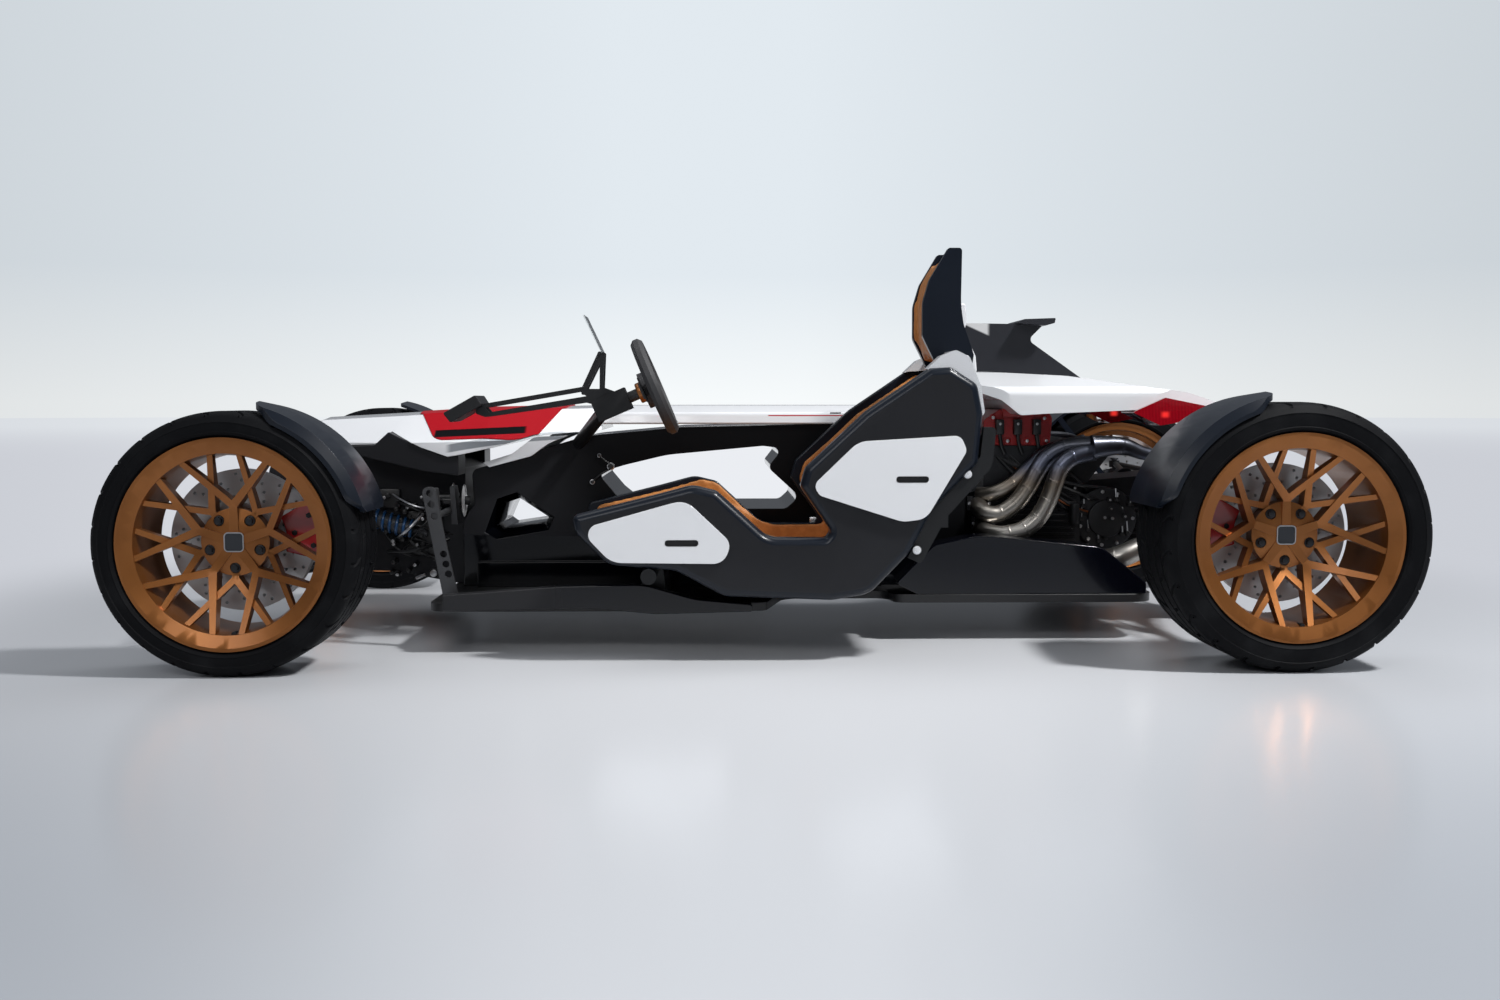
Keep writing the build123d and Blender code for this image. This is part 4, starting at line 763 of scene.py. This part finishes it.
for side, way in (("left", -1), ("right", 1)):
    ribs, fixings, looms, tan_looms, reds = (bmesh.new() for _ in range(5))
    for number in range(10):
        low = 0.206 + number * 0.0170
        block(ribs, (0.676, 0.186 * way, low), (0.866, 0.1985 * way, low + 0.0055))
    for number in range(7):
        low = 0.235 + number * 0.0175
        block(ribs, (0.905, 0.112 * way, low), (1.12, 0.1320 * way, low + 0.006))
    stub(ribs, (0.955, 0.105 * way, 0.300), way, 0.086, 0.072, 48, 0.008)
    stub(ribs, (0.955, 0.175 * way, 0.300), way, 0.052, 0.016, 40, 0.005)
    stub(ribs, (1.085, 0.105 * way, 0.395), way, 0.030, 0.050, 32, 0.004)
    for number in range(11):
        turn = math.tau * number / 11
        spot = (0.955 + 0.074 * math.cos(turn), 0.1765 * way, 0.300 + 0.074 * math.sin(turn))
        stub(fixings, spot, way, 0.0052, 0.006, 6, 0.0008)
    hose(ribs, [(0.861, 0.205 * way, pz) for pz in (0.288, 0.292, 0.336, 0.342)],
         [0.010, 0.0135, 0.0135, 0.010], 20)
    for px, pz in ((0.600, 0.343), (0.612, 0.288)):
        block(ribs, (px - 0.034, 0.186 * way, pz - 0.020), (px + 0.034, 0.1995 * way, pz + 0.020), 0.004)
        for shift in (-0.027, 0.027):
            stub(fixings, (px + shift, 0.1985 * way, pz), way, 0.0052, 0.006, 6, 0.0008)
    for px, pz in ((0.632, 0.513), (0.680, 0.513), (0.734, 0.513), (0.787, 0.513),
                   (0.640, 0.577), (0.708, 0.583), (0.781, 0.575)):
        stub(reds, (px, 0.170 * way, pz), way, 0.0105, 0.010, 20, 0.003)
        stub(fixings, (px, 0.1795 * way, pz), way, 0.0050, 0.005, 6, 0.0008)
    for px in (0.657, 0.706, 0.758):
        block(looms, (px - 0.011, 0.172 * way, 0.530), (px + 0.011, 0.196 * way, 0.572), 0.003)
        hose(looms, [(px, 0.188 * way, 0.534), (px, 0.196 * way, 0.520), (px + 0.004, 0.194 * way, 0.500),
                     (px + 0.014, 0.190 * way, 0.478)], 0.0055, 10)
        stub(fixings, (px, 0.1945 * way, 0.560), way, 0.0042, 0.004, 6, 0.0006)
    block(reds, (0.664, 0.160 * way, 0.578), (0.752, 0.186 * way, 0.602), 0.004)
    draw = random.Random(7)
    for number in range(9):
        start = Vector((0.63 + draw.random() * 0.14, 0.172 * way, 0.46 + draw.random() * 0.03))
        finish_at = Vector((0.92 + draw.random() * 0.14, 0.112 * way, 0.25 + draw.random() * 0.13))
        sag = Vector((draw.uniform(-0.03, 0.03), 0.062 * way, draw.uniform(-0.05, 0.03)))
        middle = (start + finish_at) / 2 + sag
        hose(tan_looms if number == 4 else looms, [start, middle, finish_at],
             0.0028 + draw.random() * 0.0030, 8)
    for number in range(26):
        spot = (draw.uniform(0.84, 1.02), draw.uniform(0.178, 0.205) * way, draw.uniform(0.235, 0.385))
        if draw.random() < 0.4:
            top = (spot[0] + draw.uniform(-0.004, 0.004), spot[1], spot[2] + draw.uniform(0.015, 0.035))
            hose(fixings, [spot, top], 0.0020, 8)
        else:
            stub(fixings, spot, way, draw.uniform(0.0022, 0.0042), draw.uniform(0.004, 0.012), 6, 0.0005)
        stub(looms, (spot[0], 0.110 * way, spot[2]), way, 0.0060, abs(spot[1]) - 0.107, 8, 0.001)
    side_pieces(side, (ribs, "engine_ribs", engine_alloy, "engine_cast"),
                (fixings, "engine_fixings", plain_steel, "bare_steel"),
                (looms, "engine_looms", wire_black, "black_satin"),
                (tan_looms, "engine_tan_loom", loom_tan, "black_satin"),
                (reds, "cover_bosses", crackle, "red_cast"))

# Front bay: reservoirs, brake lines, links and plated fixings on the tub's flank, ahead of the pedals. Its
# lines and small fixings are invented too, in seeded random places.
for side, way in (("left", -1), ("right", 1)):
    dark, bright, pale = (bmesh.new() for _ in range(3))
    block(dark, (-0.955, 0.172 * way, 0.205), (-0.862, 0.196 * way, 0.325), 0.004)
    block(dark, (-1.030, 0.172 * way, 0.332), (-0.975, 0.190 * way, 0.385), 0.004)
    for px, low, high in ((-0.822, 0.326, 0.404), (-0.793, 0.312, 0.400)):
        middle = (low + high) / 2
        hose(pale, [(px + shift, 0.236 * way, middle) for shift in (-0.0022, 0, 0.0022)],
             [(high - low) * 0.40, (high - low) * 0.5, (high - low) * 0.40], 40, 0.0012)
        hose(dark, [(px - 0.055, 0.236 * way, middle), (px + 0.016, 0.236 * way, middle)], 0.012, 16)
    block(dark, (-0.888, 0.172 * way, 0.338), (-0.868, 0.250 * way, 0.376), 0.003)
    draw = random.Random(11)
    for number in range(12):
        start = Vector((draw.uniform(-1.04, -0.95), 0.172 * way, draw.uniform(0.20, 0.38)))
        stop = Vector((draw.uniform(-0.90, -0.83), 0.172 * way, draw.uniform(0.17, 0.36)))
        bend = (start + stop) / 2 + Vector((0, draw.uniform(0.025, 0.07) * way, draw.uniform(-0.04, 0.04)))
        hose(bright if number % 6 == 5 else dark, [start, bend, stop], draw.uniform(0.0022, 0.0046), 8)
    for number in range(34):
        spot = (draw.uniform(-1.02, -0.87), 0.190 * way, draw.uniform(0.150, 0.370))
        out = draw.uniform(0.004, 0.030)
        stub(dark, (spot[0], 0.170 * way, spot[2]), way, 0.0062, 0.022 + out, 8, 0.001)
        stub(bright if number % 3 == 0 else dark, (spot[0], spot[1] + way * out, spot[2]), way,
             draw.uniform(0.0030, 0.0050), 0.005, 6, 0.0006)
    stub(dark, (-0.877, 0.170 * way, 0.160), way, 0.0130, 0.070, 24, 0.001)
    stub(bright, (-0.877, 0.240 * way, 0.160), way, 0.0095, 0.004, 24, 0.0010)
    hose(bright, [(-0.925, 0.232 * way, 0.146), (-0.900, 0.236 * way, 0.156)], 0.0046, 10)
    hose(dark, [(-0.925, 0.170 * way, 0.146), (-0.925, 0.234 * way, 0.146)], 0.0052, 10)
    side_pieces(side, (dark, "front_bay_parts", wire_black, "black_satin"),
                (bright, "front_bay_fixings", plain_steel, "bare_steel"),
                (pale, "reservoir_caps", pearl, "silver_white"))

# Seat: one carbon shell in black-blue gloss whose flanks, inside a rounded border, are satin graphite.
seat_y, seat_half = -0.500, 0.250
softened("seat_shell", "seat_tub", [night_gloss, graphite], 0.004, "chassis", "black_gloss", 3,
         paint=lambda spot, normal: int(abs(spot.y - seat_y) > seat_half - 0.001 and abs(normal.y) > 0.99))

# Flank panels: crowned white mouldings let into the seat's sides, each with a shallow slot whose near-black
# lining is painted shade in place of an open slot.
slot_shade_lining = Finish("slot_shade_lining", (0.004, 0.004, 0.005), Roughness=0.5)
slot_shade_lining.set(Roughness=0.45 + slot_shade_lining.noise(80.0) * 0.2)
softened("seat_panels", "flank_panels", [pearl], 0.011, "chassis", "pearl_white", 5)
for side, way in (("left", -1), ("right", 1)):
    bm = bmesh.new()
    for px, pz, length in ((-0.200, 0.289, 0.078), (0.342, 0.438, 0.076)):
        mouth = bmesh.ops.create_grid(bm, x_segments=1, y_segments=1, size=0.5)["verts"]
        bmesh.ops.scale(bm, verts=mouth, vec=(length, 0.0145, 1))
        bmesh.ops.bevel(bm, geom=mouth, offset=0.0071, segments=6, affect="VERTICES", profile=0.5,
                        material=-1)
        fresh = [v for v in bm.verts if abs(v.co.z) < 1e-7 and abs(v.co.y) < 0.02 and abs(v.co.x) < 0.05]
        bmesh.ops.transform(bm, verts=fresh, matrix=Matrix.Translation(
            (px, seat_y + way * (seat_half + 0.0146), pz)) @ Matrix.Rotation(math.radians(-90 * way), 4, "X"))
    walls = bmesh.ops.extrude_face_region(bm, geom=bm.faces[:])["geom"]
    walls = [g for g in walls if isinstance(g, bmesh.types.BMVert)]
    bmesh.ops.translate(bm, verts=walls, vec=(0, -way * 0.006, 0))
    bmesh.ops.recalc_face_normals(bm, faces=bm.faces)
    outer_faces = [f for f in bm.faces if f.normal.y * way > 0.9]
    bmesh.ops.inset_region(bm, faces=outer_faces, thickness=0.0012, depth=0.0)
    bmesh.ops.inset_region(bm, faces=outer_faces, thickness=0.0006, depth=-0.0045)
    piece(bm, f"panel_slots_{side}", [slot_shade_lining], "chassis", "black_satin")
silver = Finish("silver_white", (0.64, 0.65, 0.67), Metallic=0.25, Roughness=0.26, Coat_Weight=0.3)
silver.set(Roughness=0.2 + silver.noise(600.0, 1.0) * 0.14)
softened("shoulder_collar", "collar", [silver], 0.006, "chassis", "silver_white", 4)
softened("headrest", "headrest_shell", [night_gloss], 0.004, "chassis", "black_gloss", 3)

# Buckle and window sensors: plated fittings, riveted to the seat's far wall and to the spine beside the
# window.
bm = bmesh.new()
block(bm, (0.132, -0.2680, 0.286), (0.174, -0.2560, 0.312), 0.003)
closed(bm, "belt_buckle", [plain_steel], "chassis", "bare_steel")
sensor_rings, sensor_cores = bmesh.new(), bmesh.new()
for way in (-1, 1):
    for px, pz, size in ((-0.402, 0.446, 0.0105), (-0.452, 0.404, 0.0070), (-0.433, 0.476, 0.0055)):
        stub(sensor_rings, (px, 0.2130 * way, pz), way, size, 0.0060, 28, 0.0012)
        stub(sensor_cores, (px, 0.2180 * way, pz), way, size * 0.72, 0.0026, 24, 0.0006)
    for run, radius in ((((-0.452, 0.404), (-0.430, 0.424), (-0.402, 0.440)), 0.0026),
                        (((-0.433, 0.476), (-0.418, 0.462), (-0.402, 0.452)), 0.0022)):
        points = [(px, py * way, pz) for (px, pz), py in zip(run, (0.2160, 0.2200, 0.2170))]
        hose(sensor_cores, points, radius, 8)
for bm, name, finish, slot in ((sensor_rings, "sensor_rings", plain_steel, "bare_steel"),
                               (sensor_cores, "sensor_cores", wire_black, "black_satin")):
    closed(bm, name, [finish], "chassis", slot)

# Seat lining: tan leather over firm foam.
leather = Finish("tan_leather", (0.42, 0.17, 0.045), Roughness=0.52, Specular_IOR_Level=0.4)
pores = leather.cells(620.0)
creases = leather.noise(55.0, 5.0)
leather.set(Base_Color=leather.mixed(creases.step(0.35, 0.7), (0.36, 0.135, 0.028), (0.46, 0.18, 0.042)),
            Roughness=0.42 + pores * 0.22)
leather.bump(pores * 0.6 + creases * 0.4, 0.0004)


def padded_lining(node, name, voxel, swell, channels, flat, forward=0.0):
    """Foam under leather: remeshed, swollen by a short cloth simulation, then sewn in channels."""
    pad = piece(merged(node), name, [leather], "chassis", "tan_leather", [node], 60)
    skin = pad.modifiers.new("skin", "REMESH")
    skin.mode, skin.voxel_size, skin.use_smooth_shade = "VOXEL", voxel, True
    easing = pad.modifiers.new("easing", "SMOOTH")
    easing.factor, easing.iterations = 0.5, 4
    bpy.context.view_layer.update()
    pad.data = bpy.data.meshes.new_from_object(pad.evaluated_get(bpy.context.evaluated_depsgraph_get()))
    pad.modifiers.clear()
    before = [v.co.copy() for v in pad.data.vertices]
    stuffing = pad.modifiers.new("stuffing", "CLOTH")
    stuffing.settings.use_pressure = True
    stuffing.settings.uniform_pressure_force = 4.0
    stuffing.settings.effector_weights.gravity = 0.0
    stuffing.point_cache.frame_start, stuffing.point_cache.frame_end = 1, 20
    for step in range(1, 21):
        bpy.context.scene.frame_set(step)
    swollen = bpy.data.meshes.new_from_object(pad.evaluated_get(bpy.context.evaluated_depsgraph_get()))
    pad.modifiers.clear()
    for vert, old, new in zip(pad.data.vertices, before, swollen.vertices):
        shift = new.co - old
        vert.co = old + shift * min(1.0, swell / max(shift.length, 1e-9))
    bpy.context.scene.frame_set(1)
    bpy.data.meshes.remove(swollen)
    pad.data.update()
    normals = [v.normal.copy() for v in pad.data.vertices]
    for vert, normal in zip(pad.data.vertices, normals):
        depth = 0.0
        for middle in channels:
            depth = max(depth, math.exp(-((vert.co.y - middle) / 0.0042) ** 2))
        vert.co -= normal * depth * flat
        vert.co.x -= forward * min(1.0, max(0.0, -normal.x * 1.6 - 0.3))
    fine = pad.modifiers.new("fine", "SUBSURF")
    fine.levels = fine.render_levels = 1


padded_lining("seat_liner", "seat_lining", 0.0065, 0.004, [-0.640, -0.570, -0.500, -0.430, -0.360], 0.0035)
padded_lining("headrest_pad", "headrest_lining", 0.0045, 0.003, [-0.500], 0.0025, 0.017)
softened("seat_brackets", "seat_mounts", [powder], 0.002, "chassis", "dark_frame")
bolt_spots = ((0.476, 0.449), (0.357, 0.269))
bm = bmesh.new()
for side_y, way in ((-0.738, -1), (-0.262, 1)):
    for px, pz in bolt_spots:
        stub(bm, (px, side_y - way * 0.016, pz), way, 0.0120, 0.016, 28, 0.002)
        stub(bm, (px, side_y - way * 0.001, pz), way, 0.0076, 0.004, 24, 0.0012)
bmesh.ops.recalc_face_normals(bm, faces=bm.faces)
for face in bm.faces:
    centre = face.calc_center_median()
    away = min((Vector((px, centre.y, pz)) - centre).length for px, pz in bolt_spots)
    face.material_index = 1 if away < 0.0082 else 0
piece(bm, "seat_bolts", [powder, silver], "chassis", "bare_steel")

# Steering: a thick rubber-covered grip on a machined hub.
grip_rubber = Finish("grip_rubber", (0.022, 0.022, 0.024), Roughness=0.6)
grip_rubber.set(Roughness=0.5 + grip_rubber.noise(50.0) * 0.2)
grip_rubber.bump(grip_rubber.noise(500.0, 2.0), 0.00015)
softened("steering_wheel", "hand_wheel_grip", [grip_rubber], 0.003, "hand_wheel", "black_satin", 3)
wheel_place = Matrix.Translation((-0.271, -0.500, 0.658)) @ Matrix.Rotation(math.radians(-23.2), 4, "Y")
paddles, hub_parts = bmesh.new(), bmesh.new()
for way in (-1, 1):
    block(paddles, (-0.0300, 0.050 * way, -0.030), (-0.0265, 0.098 * way, 0.034), 0.0012)
    block(paddles, (-0.0300, 0.016 * way, -0.010), (-0.0265, 0.054 * way, 0.010), 0.0012)
    for height in (-0.012, 0.0, 0.012):
        hose(hub_parts, [(-0.004, 0.030 * way, height), (0.0085, 0.030 * way, height)], 0.0042, 16)
hose(hub_parts, [(depth, 0, 0) for depth in (-0.046, -0.043, -0.026, -0.023)],
     [0.0230, 0.0262, 0.0262, 0.0230], 36)
for bm, name, finish, slot in ((paddles, "shift_paddles", powder, "black_satin"),
                               (hub_parts, "hub_collar_and_buttons", copper, "copper_rim")):
    bmesh.ops.transform(bm, verts=bm.verts, matrix=wheel_place)
    closed(bm, name, [finish], "hand_wheel", slot)
softened("steering_column", "column", [powder], 0.004, "chassis", "dark_frame", 3)
softened("display", "display_box", [powder], 0.002, "chassis", "black_satin")
softened("dash_truss", "truss", [powder], 0.001, "chassis", "black_satin")
glass = Finish("clear_glass", (0.96, 0.98, 0.98), Roughness=0.02, Transmission_Weight=1.0, IOR=1.45)
glass.set(Roughness=0.01 + glass.noise(20.0) * 0.03)
softened("small_screen", "screen_glass", [glass], 0.0004, "chassis", "clear_glass")
pedal_alloy = Finish("pedal_alloy", (0.075, 0.076, 0.080), Metallic=0.7, Roughness=0.42)
pedal_alloy.set(Roughness=0.36 + pedal_alloy.noise(220.0, 2.0) * 0.16)
softened("pedal_box", "pedals", [pedal_alloy], 0.0016, "chassis", "bare_steel")
